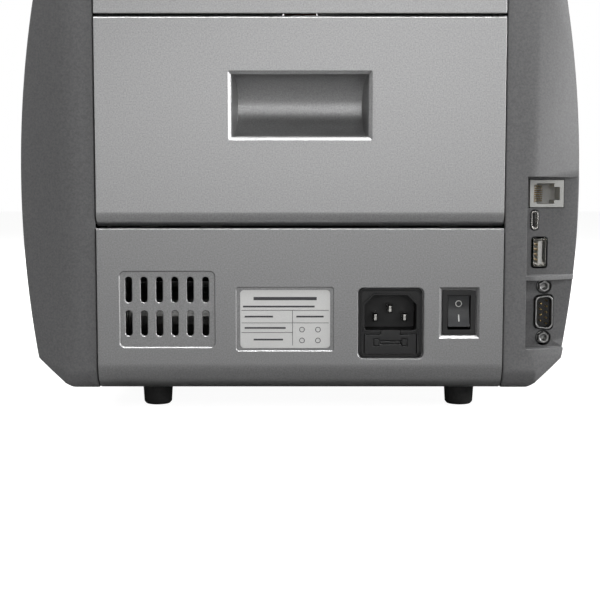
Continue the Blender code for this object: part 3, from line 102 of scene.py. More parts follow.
FEED_R = 0.013
PICKUP = (0.0272, 0.1829)
RETARD_R = 0.008
RETARD_ANGLE = math.radians(34)
STACKER = (-0.020, 0.068)
FEED_X = 0.026
HOPPER_HALF = 0.0905
FLOOR_REAR = (0.0600, 0.1857)
FLOOR_SLOPE = math.tan(math.radians(15))
FLOOR_FRONT_Y = -0.050
GUIDE_X = 0.0880  # the guides' middles with the hopper at its widest
GUIDE_TRAVEL = 0.030
PINION = (0.0, -0.012)  # x, y of the guides' pinion
PINION_TEETH = 12
TOOTH_MODULE = 0.001
TOOTH_ANGLE = math.radians(25)
RACK_Z = (0.1915, 0.1955)
FASCIA_FOOT = (-0.1285, 0.1172)
HOPPER_RIM = 0.2205
FASCIA_HEAD = (-0.0735, HOPPER_RIM)
FASCIA_THICK = 0.003
POCKET_FLOOR_FRONT = (-0.1117, 0.0455)
LINER_FRONT = -0.1282
POCKET_FLOOR_REAR = (-0.062, 0.036)
POCKET_BACK_TOP = (-0.0455, 0.084)
CHIN_TOP = 0.0462
INLET = (-0.0431, 0.0422)  # x, z of the flange's middle
INLET_CAVITY_Z = 0.0470
INLET_RECESS = 0.0045  # how deep the panel's recess for the inlet is
FUSE = (INLET[0], 0.0319)
SWITCH = (-0.0756, 0.0472)
SWITCH_RECESS = 0.0030
ROCKER_TILT = math.radians(9)
BAY_EDGE = 0.1073
BAY_FLOOR = COVER_REAR - 0.011
BAYS = ((0.0646, 0.1114), (0.0295, 0.0623))
JACK = (-0.1184, 0.1035)
USB_C = (-0.1129, 0.0908)
USB_A = (-0.1154, 0.0752)
SERIAL = (-0.1178, 0.0464)
SERIAL_SCREWS = 0.0250  # spacing
GRIP_Z = 0.1446
GRIP_HALF = 0.0322
GRIP_RADIUS = 0.0155
FEET = {
    "foot_rear_right": (0.0703, 0.106),
    "foot_rear_left": (-0.0786, 0.106),
    "foot_front_right": (0.0745, -0.106),
    "foot_front_left": (-0.0745, -0.106),
}
AXES = {
    "X": Matrix(((0, 0, 1, 0), (1, 0, 0, 0), (0, 1, 0, 0), (0, 0, 0, 1))),
    "Y": Matrix(((1, 0, 0, 0), (0, 0, -1, 0), (0, 1, 0, 0), (0, 0, 0, 1))),
    "Z": Matrix.Identity(4),
}
ALONG = {"X": Vector((1, 0, 0)), "Y": Vector((0, 1, 0)), "Z": Vector((0, 0, 1))}
SIDE_PROFILE = (
    (COVER_REAR, CASE_BOTTOM),
    (COVER_REAR, CASE_TOP),
    (FRONT_TOP_Y, CASE_TOP),
    (FRONT, KNEE_Z),
    (FRONT, CASE_BOTTOM),
)
SIDE_RADII = (0.010, 0.016, 0.014, 0.022, 0.008)
KNOB_Y = 0.1195
SUPPORT_Y, SUPPORT_Z = 0.1110, 0.2246
SUPPORT_LEAN = math.radians(20)
SCREEN_V = 0.0720
KEY_V = 0.0220
KEY_HEIGHT = 0.0115
KEY_TOP = 0.0016  # above the panel's face
KEYS = {
    "key_mode": (-0.0680, 0.0240),
    "key_currency": (-0.0360, 0.0240),
    "key_start": (0.0000, 0.0320),
    "key_batch": (0.0360, 0.0240),
    "key_clear": (0.0680, 0.0240),
}
WHEEL_X = 0.030
RACK_END = -0.0200  # how far a rack reaches past the pinion's middle

# ---- Materials ----
def wire(tree, target, **inputs):
    """Sets a node's inputs by name: another node's output is linked, anything else is a value."""
    for name, value in inputs.items():
        socket = target.inputs[name.replace("_", " ")]
        if isinstance(value, bpy.types.NodeSocket):
            tree.links.new(value, socket)
        else:
            socket.default_value = value
    return target


def node(tree, kind, **inputs):
    return wire(tree, tree.nodes.new("ShaderNode" + kind), **inputs)


def math_node(tree, operation, *values):
    made = node(tree, "Math")
    made.operation = operation
    for socket, value in zip(made.inputs, values):
        if isinstance(value, bpy.types.NodeSocket):
            tree.links.new(value, socket)
        else:
            socket.default_value = value
    return made.outputs["Value"]


def start_material(name, roughness, metallic=0.0, **inputs):
    material = bpy.data.materials.new(name)
    material.use_nodes = True
    tree = material.node_tree
    shader = wire(tree, tree.nodes["Principled BSDF"], Roughness=roughness, Metallic=metallic, **inputs)
    return material, tree, shader, node(tree, "TexCoord").outputs["Object"]


def noise(tree, where, scale, detail=2.0, roughness=0.5, stretch=None):
    if stretch:
        where = node(tree, "Mapping", Scale=stretch, Vector=where).outputs["Vector"]
    made = node(tree, "TexNoise", Scale=scale, Detail=detail, Roughness=roughness, Vector=where)
    return made.outputs["Fac"]


def ramp(tree, factor, *stops):
    made = node(tree, "ValToRGB", Fac=factor)
    while len(made.color_ramp.elements) < len(stops):
        made.color_ramp.elements.new(0.5)
    for element, (place, colour) in zip(made.color_ramp.elements, stops):
        element.position = place
        element.color = (*colour, 1.0)
    return made.outputs["Color"]


def shaded(tree, factor, colour, amount, start=0.3, end=0.7):
    """A colour that runs between its own darker and lighter neighbours."""
    low, high = (tuple(max(0.0, c * (1 + s * amount)) for c in colour) for s in (-1, 1))
    return ramp(tree, factor, (start, low), (end, high))


def spread(tree, factor, low, high, start=0.3, end=0.7):
    made = node(tree, "MapRange", From_Min=start, From_Max=end, To_Min=low, To_Max=high, Value=factor)
    return made.outputs["Result"]


def bump(tree, height, strength, distance=0.0002):
    return node(tree, "Bump", Strength=strength, Distance=distance, Height=height).outputs["Normal"]


def moulded(name, colour, roughness, grain=900.0, depth=0.12, speckle=0.06, metallic=0.0):
    """Moulded plastic: a fine spark-eroded grain in its height, and faint speckle in its colour."""
    material, tree, shader, where = start_material(name, roughness, metallic)
    fine = noise(tree, where, grain, 3.0, 0.6)
    broad = noise(tree, where, 14.0)
    base = shaded(tree, fine, colour, speckle, 0.32, 0.68)
    rough = spread(tree, broad, roughness - 0.04, roughness + 0.04)
    wire(tree, shader, Base_Color=base, Roughness=rough, Normal=bump(tree, fine, depth))
    return material


def metallic_paint(name, colour, roughness):
    """Silver paint: pale flakes scattered through a grey coat, over a faint orange-peel."""
    material, tree, shader, where = start_material(name, roughness, 0.8)
    flakes = noise(tree, where, 1500.0, 2.0, 0.7)
    low, high = (tuple(c * share for c in colour) for share in (0.84, 1.16))
    base = ramp(tree, flakes, (0.30, low), (0.52, colour), (0.74, high))
    rough = spread(tree, flakes, roughness + 0.07, roughness - 0.07)
    height = math_node(tree, "ADD", flakes, noise(tree, where, 260.0))
    wire(tree, shader, Base_Color=base, Roughness=rough, Normal=bump(tree, height, 0.10))
    return material


def worked_metal(name, colour, roughness, stretch=(1.0, 30.0, 30.0), scale=60.0):
    """Metal with fine lines along X from rolling or turning."""
    material, tree, shader, where = start_material(name, roughness, 1.0)
    lines = noise(tree, where, scale, 3.0, 0.6, stretch)
    rough = spread(tree, lines, roughness - 0.07, roughness + 0.07)
    normal = bump(tree, lines, 0.08, 0.0001)
    wire(tree, shader, Base_Color=shaded(tree, lines, colour, 0.12), Roughness=rough, Normal=normal)
    return material


def rubber(name, colour):
    material, tree, shader, where = start_material(name, 0.8)
    fine = noise(tree, where, 700.0, 3.0, 0.6)
    wire(tree, shader, Base_Color=shaded(tree, fine, colour, 0.25), Normal=bump(tree, fine, 0.2))
    return material


def radial(tree, where, centre, radius):
    """1 inside a radius about an axis along X, 0 outside."""
    parts = node(tree, "SeparateXYZ", Vector=where)
    away = [math_node(tree, "SUBTRACT", parts.outputs[a], c) for a, c in zip("YZ", centre)]
    squares = [math_node(tree, "MULTIPLY", distance, distance) for distance in away]
    return math_node(tree, "LESS_THAN", math_node(tree, "ADD", *squares), radius * radius)


def tyred(name, centre, radius, tyre):
    """A steel shaft inside a radius, and moulded tyres outside it."""
    material, tree, shader, where = start_material(name, 0.5)
    inside = radial(tree, where, centre, radius)
    fine = noise(tree, where, 700.0, 3.0, 0.6)
    steel = ramp(tree, fine, (0.3, (0.46, 0.46, 0.45)), (0.7, (0.56, 0.56, 0.55)))
    mix = node(tree, "Mix")
    mix.data_type = "RGBA"
    wire(tree, mix, Factor=inside)
    tree.links.new(shaded(tree, fine, tyre, 0.2), mix.inputs["A"])
    tree.links.new(steel, mix.inputs["B"])
    rough = spread(tree, inside, 0.75, 0.3, 0.0, 1.0)
    wire(tree, shader, Metallic=inside, Roughness=rough, Normal=bump(tree, fine, 0.1))
    tree.links.new(mix.outputs["Result"], shader.inputs["Base Color"])
    return material


def circuit_board(name):
    material, tree, shader, where = start_material(name, 0.4)
    cells = node(tree, "TexVoronoi", Scale=260.0, Vector=where)
    tracks = noise(tree, where, 420.0, 2.0, 0.4, (1.0, 0.25, 1.0))
    green = ((0.42, (0.012, 0.10, 0.045)), (0.5, (0.03, 0.20, 0.09)), (0.62, (0.012, 0.11, 0.05)))
    normal = bump(tree, cells.outputs["Distance"], 0.15, 0.0003)
    wire(tree, shader, Base_Color=ramp(tree, tracks, *green), Normal=normal)
    return material


def dark_glass(name, colour, roughness):
    material, tree, shader, where = start_material(name, roughness, Coat_Weight=0.6, Coat_Roughness=0.05)
    broad = noise(tree, where, 30.0)
    rough = spread(tree, broad, roughness, roughness + 0.05)
    wire(tree, shader, Base_Color=shaded(tree, broad, colour, 0.3), Roughness=rough)
    return material


FINISHES = {
    "silver_plastic": metallic_paint("silver_paint", (0.36, 0.36, 0.362), 0.40),
    # The lower rear panel gets a darker copy of the same silver paint: painted shade for the panel catching
    # less light than the door above it.
    "rear_lower_panel": metallic_paint("silver_paint_painted_shade", (0.28, 0.28, 0.282), 0.40),
    "dark_plastic": moulded("dark_grey_abs", (0.126, 0.126, 0.128), 0.50, 1100.0, 0.22, 0.16),
    "black_plastic": moulded("black_abs", (0.009, 0.009, 0.0095), 0.46, 1000.0, 0.10, 0.15),
    "port_plastic": moulded("light_grey_nylon", (0.52, 0.52, 0.50), 0.40, 1200.0, 0.05, 0.03),
    "key_plastic": moulded("key_grey", (0.16, 0.165, 0.17), 0.42, 1200.0, 0.08, 0.06),
    "rubber": rubber("black_rubber", (0.012, 0.012, 0.012)),
    "steel": worked_metal("zinc_plate", (0.50, 0.50, 0.49), 0.36),
    "plated_steel": worked_metal("nickel_plate", (0.66, 0.65, 0.62), 0.22, (1.0, 1.0, 8.0), 200.0),
    "circuit_board": circuit_board("solder_resist"),
    "glass": dark_glass("display_glass", (0.010, 0.012, 0.016), 0.06),
    "white_plastic": moulded("white_acetal", (0.70, 0.69, 0.66), 0.45, 900.0, 0.06, 0.03),
    "label": moulded("label_foil", (0.68, 0.68, 0.67), 0.34, 1500.0, 0.04, 0.03, 0.35),
    "ink": moulded("printing_ink", (0.05, 0.05, 0.055), 0.6, 1500.0, 0.03, 0.1),
    "white_ink": moulded("white_ink", (0.72, 0.72, 0.70), 0.5, 1500.0, 0.03, 0.05),
    "serial_port": worked_metal("zinc_shell", (0.30, 0.30, 0.295), 0.34, (1.0, 1.0, 8.0), 200.0),
    "gold": worked_metal("gold_plate", (0.72, 0.52, 0.22), 0.25, (1.0, 1.0, 1.0), 900.0),
    "rocker": moulded("rocker_plastic", (0.035, 0.036, 0.038), 0.36, 1200.0, 0.08, 0.1),
}

# ---- Modelling helpers ----
CUTTERS = bpy.data.collections.new("cutters")
bpy.context.scene.collection.children.link(CUTTERS)


def to_mesh(bm, mesh):
    """Writes an edited mesh back, and frees the editor."""
    bm.to_mesh(mesh)
    bm.free()
    return mesh


def put(target, **values):
    for name, value in values.items():
        setattr(target, name, value)
    return target


def modify(obj, kind, **settings):
    put(obj.modifiers.new(kind.lower(), kind), **settings)


def placed(name, data):
    obj = bpy.data.objects.new(name, data)
    bpy.context.scene.collection.objects.link(obj)
    return obj


def shape(mesh, matrix):
    obj = bpy.data.objects.new("shape", mesh)
    CUTTERS.objects.link(obj)
    obj.matrix_basis = matrix
    return obj


def baked(obj):
    """A shape's mesh with its modifiers applied, in the machine's frame."""
    bpy.context.view_layer.update()
    graph = bpy.context.evaluated_depsgraph_get()
    mesh = bpy.data.meshes.new_from_object(obj.evaluated_get(graph))
    mesh.transform(obj.matrix_basis)
    bm = bmesh.new()
    bm.from_mesh(mesh)
    bmesh.ops.remove_doubles(bm, verts=bm.verts, dist=2e-6)
    bmesh.ops.dissolve_limit(bm, angle_limit=math.radians(0.3), verts=bm.verts, edges=bm.edges)
    bmesh.ops.triangulate(bm, faces=[face for face in bm.faces if len(face.verts) > 4])
    return to_mesh(bm, mesh)


def weigh_edges(mesh, tight):
    """Marks the sharp edges for rounding, and those inside a box of `tight` for less of it."""
    bm = bmesh.new()
    bm.from_mesh(mesh)
    weights = bm.edges.layers.float.new("bevel_weight_edge")
    for edge in bm.edges:
        if edge.calc_face_angle(0.0) < math.radians(30):
            continue
        middle = (edge.verts[0].co + edge.verts[1].co) / 2
        edge[weights] = 1.0
        for low, high, weight in tight:
            if all(a < v < b for a, v, b in zip(low, middle, high)):
                edge[weights] = weight
        edge.smooth = edge[weights] > 0
    to_mesh(bm, mesh)


def clear_shapes():
    for obj in list(CUTTERS.objects):
        bpy.data.objects.remove(obj, do_unlink=True)


def finished(obj, name, material, body, edge=0.0002):
    """Shows a shape as a piece of the machine, with rounded edges."""
    mesh = baked(obj)
    mesh.materials.clear()
    mesh.materials.append(material)
    mesh.shade_smooth()
    piece = placed(name, mesh)
    if edge:
        weigh_edges(mesh, TIGHT.get(name, ()))
        modify(
            piece,
            "BEVEL",
            width=edge,
            segments=2,
            limit_method="WEIGHT",
            miter_outer="MITER_ARC",
            use_clamp_overlap=False,
            harden_normals=False,
        )
    modify(piece, "WEIGHTED_NORMAL", keep_sharp=True, weight=60)
    clear_shapes()
    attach(piece, body)
    return piece


def part(obj, name, finish):
    """Shows a shape in place of the CAD node with that name."""
    edge = EDGES.get(name, 0.00025)
    material = FINISHES.get(name, FINISHES[finish])
    piece = finished(obj, name + "_finished", material, BODY_OF[name], edge)
    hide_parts(name)


def detail(obj, name, finish, edge=0, body="case"):
    """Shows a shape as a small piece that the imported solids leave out."""
    finished(obj, name, FINISHES[finish], body, edge)


# Width of the rounded edges, where it isn't the usual 0.25 mm
EDGES = {
    "side_cover_left": 0.0007,
    "side_cover_right": 0.0007,
    "rear_door": 0.0003,
    "rear_top_cover": 0.0004,
    "front_fascia": 0.0004,
    "front_chin": 0.0004,
    "hopper_tray": 0.0003,
    "hopper_guide_left": 0.0003,
    "hopper_guide_right": 0.0003,
    "note_support": 0.0003,
    "modular_jack": 0.0001,
    "usb_a_port": 0.0001,
    "usb_c_port": 0.0001,
    "serial_port": 0.00015,
}

# Boxes in which a piece's edges are rounded less: low corner, high corner, share of the full width
TIGHT = {
    "side_cover_left_finished": [
        ((-0.2, 0.09, 0.02), (-0.1, REAR + 0.01, 0.12), 0.35),
        ((-0.128, 0.09, 0.0302), (-0.1079, REAR - 0.009, 0.0619), 0.0),
        ((-0.128, 0.09, 0.0650), (-0.1079, REAR - 0.009, 0.1110), 0.0),
    ],
    "front_fascia_finished": [((-0.09, -0.125, 0.128), (0.09, -0.07, 0.212), 0.0)],
    "rear_door_finished": [
        ((-0.11, 0.11, 0.08), (-PANEL_HALF - 0.0001, REAR, 0.11), 0.0),
        ((PANEL_HALF + 0.0001, 0.11, 0.08), (0.11, REAR, 0.11), 0.0),
    ],
    "power_inlet_finished": [((-0.1, 0.1, 0.0), (0.0, REAR, 0.1), 0.4)],
    "rear_lower_panel_finished": [((-0.09, 0.1, 0.026), (0.09, REAR + 0.001, 0.07), 0.0)],
}


# ---- Solids ----
def combine(target, operation, tools):
    for tool in tools:
        modify(target, "BOOLEAN", operation=operation, object=tool)
    return target


def cut(target, *tools):
    return combine(target, "DIFFERENCE", tools)


def join(target, *tools):
    return combine(target, "UNION", tools)


def common(target, *tools):
    return combine(target, "INTERSECT", tools)


def moved(matrix, obj):
    """Moves a shape together with the shapes that cut it or are joined to it."""
    obj.matrix_basis = matrix @ obj.matrix_basis
    for modifier in obj.modifiers:
        if modifier.type == "BOOLEAN":
            moved(matrix, modifier.object)
    return obj


def block(one, other):
    """A box between two opposite corners."""
    low, high = (Vector([pick(pair) for pair in zip(one, other)]) for pick in (min, max))
    bm = bmesh.new()
    bmesh.ops.create_cube(bm, size=1.0)
    bmesh.ops.scale(bm, vec=high - low, verts=bm.verts)
    mesh = to_mesh(bm, bpy.data.meshes.new("block"))
    return shape(mesh, Matrix.Translation((low + high) / 2))


def rod(axis, place, start, end, radius, end_radius=None, sides=20):
    """A cylinder, or a cone, along an axis through (y, z) for X, (x, z) for Y or (x, y) for Z."""
    i = "XYZ".index(axis)
    start, end = (Vector((*place[:i], along, *place[i:])) for along in (start, end))
    bm = bmesh.new()
    bmesh.ops.create_cone(
        bm,
        cap_ends=True,
        segments=sides * FINE,
        radius1=radius,
        radius2=radius if end_radius is None else end_radius,
        depth=(end - start).length,
    )
    mesh = to_mesh(bm, bpy.data.meshes.new("rod"))
    turn = (end - start).to_track_quat("Z", "Y").to_matrix().to_4x4()
    return shape(mesh, Matrix.Translation((start + end) / 2) @ turn)


def prism(outline, axis, start, end):
    """A flat outline extruded along an axis: (y, z) for X, (x, z) for Y and (x, y) for Z."""
    data = bpy.data.curves.new("outline", "CURVE")
    put(data, dimensions="2D", fill_mode="BOTH", extrude=abs(end - start) / 2)
    spline = data.splines.new("POLY")
    spline.points.add(len(outline) - 1)
    for point, (u, v) in zip(spline.points, outline):
        point.co = (u, v, 0.0, 1.0)
    spline.use_cyclic_u = True
    curve = bpy.data.objects.new("outline", data)
    CUTTERS.objects.link(curve)
    evaluated = curve.evaluated_get(bpy.context.evaluated_depsgraph_get())
    mesh = bpy.data.meshes.new_from_object(evaluated)
    bm = bmesh.new()
    bm.from_mesh(mesh)
    bmesh.ops.remove_doubles(bm, verts=bm.verts, dist=1e-6)
    bmesh.ops.recalc_face_normals(bm, faces=bm.faces)
    flat = [e for e in bm.edges if all(abs(f.normal.z) > 0.999 for f in e.link_faces)]
    bmesh.ops.dissolve_edges(bm, edges=flat, use_verts=False)
    to_mesh(bm, mesh)
    bpy.data.objects.remove(curve)
    return shape(mesh, Matrix.Translation(ALONG[axis] * (start + end) / 2) @ AXES[axis])


def turned(stations, centre, sides=20):
    """An upright turned solid. The stations are (height, radius), from low to high."""
    profile = [(stations[-1][0], 0.0), *reversed(stations), (stations[0][0], 0.0)]
    mesh = bpy.data.meshes.new("profile")
    points = [(radius, 0.0, along) for along, radius in profile]
    mesh.from_pydata(points, [(i, i + 1) for i in range(len(points) - 1)], [])
    obj = shape(mesh, Matrix.Translation(centre))
    steps = sides * FINE
    modify(obj, "SCREW", steps=steps, render_steps=steps, use_merge_vertices=True, merge_threshold=1e-5)
    return obj


def loft(rings):
    """A closed solid through rings of points that match one to one."""
    bm = bmesh.new()
    rows = [[bm.verts.new(point) for point in ring] for ring in rings]
    count = len(rings[0])
    for low, high in zip(rows, rows[1:]):
        for i in range(count):
            j = (i + 1) % count
            bm.faces.new((low[i], low[j], high[j], high[i]))
    bm.faces.new(rows[0])
    bm.faces.new(rows[-1])
    bmesh.ops.recalc_face_normals(bm, faces=bm.faces)
    return shape(to_mesh(bm, bpy.data.meshes.new("loft")), Matrix.Identity(4))


def arc(centre, radius, start, end, steps):
    """Points of an arc, with its angles in degrees."""
    steps *= FINE if radius > 0.004 else 2
    angles = [math.radians(start + (end - start) * i / steps) for i in range(steps + 1)]
    return [(centre[0] + radius * math.cos(a), centre[1] + radius * math.sin(a)) for a in angles]


def rounded(corners, radii, steps=4):
    """A polygon with its corners replaced by arcs. A radius of 0 keeps a corner sharp."""
    steps *= FINE
    outline = []
    for i, (corner, radius) in enumerate(zip(corners, radii)):
        here = Vector(corner)
        if radius <= 0:
            outline.append(tuple(here))
            continue
        back = (Vector(corners[i - 1]) - here).normalized()
        ahead = (Vector(corners[(i + 1) % len(corners)]) - here).normalized()
        half = back.angle(ahead) / 2
        centre = here + (back + ahead).normalized() * radius / math.sin(half)
        first = here + back * radius / math.tan(half) - centre
        sweep = (math.pi - 2 * half) * (1 if back.cross(ahead) < 0 else -1)
        for k in range(steps + 1):
            angle = sweep * k / steps
            c, s = math.cos(angle), math.sin(angle)
            outline.append((centre.x + first.x * c - first.y * s, centre.y + first.x * s + first.y * c))
    return outline


def inset(corners, distance):
    """A counter-clockwise polygon with every side moved inwards."""
    moved = []
    count = len(corners)
    for i in range(count):
        a, b, c = (Vector(corners[(i + k) % count]) for k in (-1, 0, 1))
        before, after = (b - a).normalized(), (c - b).normalized()
        inward = Vector((-before.y, before.x)) + Vector((-after.y, after.x))
        moved.append(tuple(b + inward * distance / (1 + before.dot(after))))
    return moved


def rectangle(centre, width, height):
    (u, v), w, h = centre, width / 2, height / 2
    return [(u - w, v - h), (u + w, v - h), (u + w, v + h), (u - w, v + h)]


def box_outline(left, right, low, high):
    return [(left, low), (right, low), (right, high), (left, high)]


def lifted(outline, y):
    """An (x, z) outline's points at a distance along Y."""
    return [(x, y, z) for x, z in outline]


def soft_rectangle(centre, width, height, radius, steps=3):
    return rounded(rectangle(centre, width, height), [radius] * 4, steps)


def slab(centre, width, height, start, end, radius=0.0):
    """A rectangle of (x, z) extruded along Y, with its corners rounded if a radius is given."""
    if radius:
        return prism(soft_rectangle(centre, width, height, radius), "Y", start, end)
    return prism(rectangle(centre, width, height), "Y", start, end)


def span(outline, half):
    """An outline of (y, z) extruded along X, as far to the left as to the right."""
    return prism(outline, "X", -half, half)


def floor_z(y):
    """The height of the hopper's sloping floor."""
    return FLOOR_REAR[1] + (FLOOR_REAR[0] - y) * FLOOR_SLOPE


def flank(height):
    """The half width of the barrel-shaped flank at a height."""
    rise = height - BULGE_HEIGHT
    return WIDTH / 2 - (BULGE_RADIUS - math.sqrt(BULGE_RADIUS**2 - rise**2))


def silhouette(shrink):
    """One cover's outline from behind, as (x, z), with its chamfered lower and upper edges."""
    slide = math.tan(math.radians(22.5)) * shrink
    low, high = SKIRT_Z + slide, CASE_TOP - (SKIRT_Z - CASE_BOTTOM) - slide
    steps = 12 * FINE
    heights = [low + (high - low) * i / steps for i in range(steps + 1)]
    inner = COVER_INNER - 0.02
    return [
        (inner, CASE_BOTTOM + shrink),
        (SKIRT_X - slide, CASE_BOTTOM + shrink),
        *[(flank(z) - shrink, z) for z in heights],
        (SKIRT_X - slide, CASE_TOP - shrink),
        (inner, CASE_TOP - shrink),
    ]


def cover_body(side, shrink, open_x):
    """The solid of a side cover: a full profile up to the strip's edge, then a slanting facet."""
    rings = []
    for x in (open_x, STRIP_EDGE - shrink * 0.24, WIDTH / 2 + 0.003 - shrink):
        taper = max(0.0, x - STRIP_EDGE + shrink * 0.24) * FACET_SLOPE
        corners = inset(SIDE_PROFILE, shrink + taper)
        radii = [max(radius - shrink, 0.002) for radius in SIDE_RADII]
        rings.append([(side * x, y, z) for y, z in rounded(corners, radii)])
    outline = [(side * x, z) for x, z in silhouette(shrink)]
    return common(loft(rings), prism(outline, "Y", FRONT - 0.01, REAR + 0.01))


def bay_block(low, high, grow):
    """The space of one port bay: its side is open to the rear and to the flank."""
    corner = (-WIDTH / 2 - 0.01, BAY_FLOOR - grow, low - grow)
    return block(corner, (-BAY_EDGE + grow, REAR + 0.01, high + grow))


def side_cover(side, name):
    body = cover_body(side, 0.0, COVER_INNER)
    hollow = cover_body(side, WALL, COVER_INNER - 0.01)
    if side < 0:
        for low, high in BAYS:
            cut(hollow, bay_block(low, high, WALL))
            cut(body, bay_block(low, high, 0.0))
    cut(body, hollow)
    if side < 0:
        cut(body, *port_openings())
    part(body, name, "dark_plastic")


def port_openings():
    """The holes through the bays' floor, one for each connector."""
    wall = (BAY_FLOOR - 2 * WALL, BAY_FLOOR + 0.004)
    openings = [
        slab(JACK, 0.0170, 0.0139, *wall),
        slab(USB_C, 0.0042, 0.0102, *wall, 0.0020),
        slab(USB_A, 0.0080, 0.0154, *wall, 0.0016),
        prism(serial_outline(0.0007), "Y", *wall),
    ]
    for dz in (-SERIAL_SCREWS / 2, SERIAL_SCREWS / 2):
        x, z = SERIAL[0], SERIAL[1] + dz
        openings.append(rod("Y", (x, z), wall[0], wall[1], 0.0038))
    return openings


def rear_lower_panel():
    outer = box_outline(0.112, REAR, CASE_BOTTOM, LOWER_TOP)
    inner = box_outline(0.10, REAR - WALL, CASE_BOTTOM + WALL, LOWER_TOP - WALL)
    outer = rounded(outer, [0, 0.013, 0.0008, 0], 6)
    inner = rounded(inner, [0, 0.0105, 0, 0], 6)
    panel = span(outer, PANEL_HALF)
    cut(panel, span(inner, PANEL_HALF + 0.01))
    seat = REAR - 0.0072
    join(panel, slab(INLET, 0.0380, 0.0400, seat, REAR - WALL / 2))
    join(panel, slab(SWITCH, 0.0230, 0.0290, seat, REAR - WALL / 2))
    cut(panel, flared_recess(INLET, 0.0311, 0.0336, 0.0004, INLET_RECESS, 0.0026))
    cut(panel, slab(INLET, 0.0274, 0.0300, seat - 0.01, REAR))
    cut(panel, flared_recess(SWITCH, 0.0169, 0.0221, 0.0012, SWITCH_RECESS))
    cut(panel, slab(SWITCH, 0.0134, 0.0194, seat - 0.01, REAR))
    label_middle = ((0.0305 - 0.0162) / 2, (0.0288 + 0.0596) / 2)
    cut(panel, flared_recess(label_middle, 0.0459, 0.0300, 0.0004, 0.0010, 0.0011))
    vent_middle = ((0.0401 + 0.0858) / 2, (0.0304 + 0.0672) / 2)
    cut(panel, flared_recess(vent_middle, 0.0447, 0.0358, 0.0005, 0.0008, 0.0021))
    for column in range(6):
        for z in (0.0581, 0.0421):
            middle = (0.0448 + 0.0073 * column, z)
            cut(panel, flared_recess(middle, 0.0032, 0.0122, 0.0003, 0.01, 0.00159, REAR - 0.0008))
    part(panel, "rear_lower_panel", "silver_plastic")


def flared_recess(centre, width, height, flare, depth, radius=0.0, face=REAR):
    """A cutter for a recess in a face towards +Y whose mouth is chamfered."""
    rings = []
    for y, grow in ((face - depth, 0.0), (face - flare, 0.0), (face + 0.001, flare + 0.001)):
        size = (width + 2 * grow, height + 2 * grow)
        outline = soft_rectangle(centre, *size, radius + grow) if radius else rectangle(centre, *size)
        rings.append(lifted(outline, y))
    return loft(rings)


def rear_top_cover():
    low, top = TOP_COVER_BOTTOM, CASE_TOP
    outer = [(0.0970, low), (REAR, low), (REAR, top), (0.1045, top), (0.0970, 0.1960)]
    outer = rounded(outer, [0, 0, 0.014, 0.003, 0.002], 6)
    low, top, rear = low - 0.01, top - WALL, REAR - WALL
    inner = [(0.0970 + WALL, low), (rear, low), (rear, top), (0.1045 + WALL * 0.9, top)]
    inner = rounded([*inner, (0.0970 + WALL, 0.1955)], [0, 0, 0.0115, 0.001, 0.001], 6)
    cover = span(outer, PANEL_HALF)
    cut(cover, span(inner, PANEL_HALF - WALL))
    cut(cover, block((-0.0085, 0.08, 0.17), (0.0085, 0.1012, 0.2010)))
    y, z = retard_place()
    bracket = [(y - 0.004, z - 0.004), (y + 0.004, z - 0.004), (0.1035, 0.1990), (0.1060, 0.2200)]
    bracket = rounded([*bracket, (0.1035, 0.2200), (y - 0.004, 0.1965)], [0.003, 0.003, 0, 0, 0, 0])
    for side in (-1, 1):
        join(cover, prism(bracket, "X", side * 0.0090, side * 0.0108))
    cut(cover, rod("X", (y, z), -0.02, 0.02, 0.0015 + GAP))
    cut(cover, rod("Z", (0, KNOB_Y), 0.21, 0.23, 0.0035))
    ear = rounded(box_outline(0.1075, 0.1145, 0.2200, 0.2275), [0, 0, 0.0034, 0.0034])
    for side in (-1, 1):
        join(cover, prism(ear, "X", side * 0.0535, side * 0.0560))
    cut(cover, rod("X", (SUPPORT_Y, SUPPORT_Z), -0.07, 0.07, 0.0014 + GAP, sides=12))
    part(cover, "rear_top_cover", "silver_plastic")


def note_support():
    """The plate that folds up behind the hopper, and carries the notes' upper edge."""
    outline = rounded(box_outline(-0.0520, 0.0520, 0.0, 0.0340), [0, 0, 0.009, 0.009])
    plate = prism(outline, "Y", -0.0011, 0.0011)
    cut(plate, slab((0, 0.003), 0.040, 0.036, -0.01, 0.01, 0.006))
    for inner, outer, radius in ((0.0216, 0.0520, 0.0022), (0.0400, 0.0562, 0.0014)):
        join(plate, rod("X", (0, 0), -outer, -inner, radius, sides=12))
        join(plate, rod("X", (0, 0), inner, outer, radius, sides=12))
    lean = Matrix.Translation((0, SUPPORT_Y, SUPPORT_Z)) @ Matrix.Rotation(-SUPPORT_LEAN, 4, "X")
    part(moved(lean, plate), "note_support", "black_plastic")


def fascia_place():
    """The fascia's own frame: its origin at the foot, +Y up the slope and +Z out of the panel."""
    along = (Vector(FASCIA_HEAD) - Vector(FASCIA_FOOT)).normalized()
    return Matrix.Translation((0, *FASCIA_FOOT)) @ Matrix.Rotation(math.atan2(along.y, along.x), 4, "X")


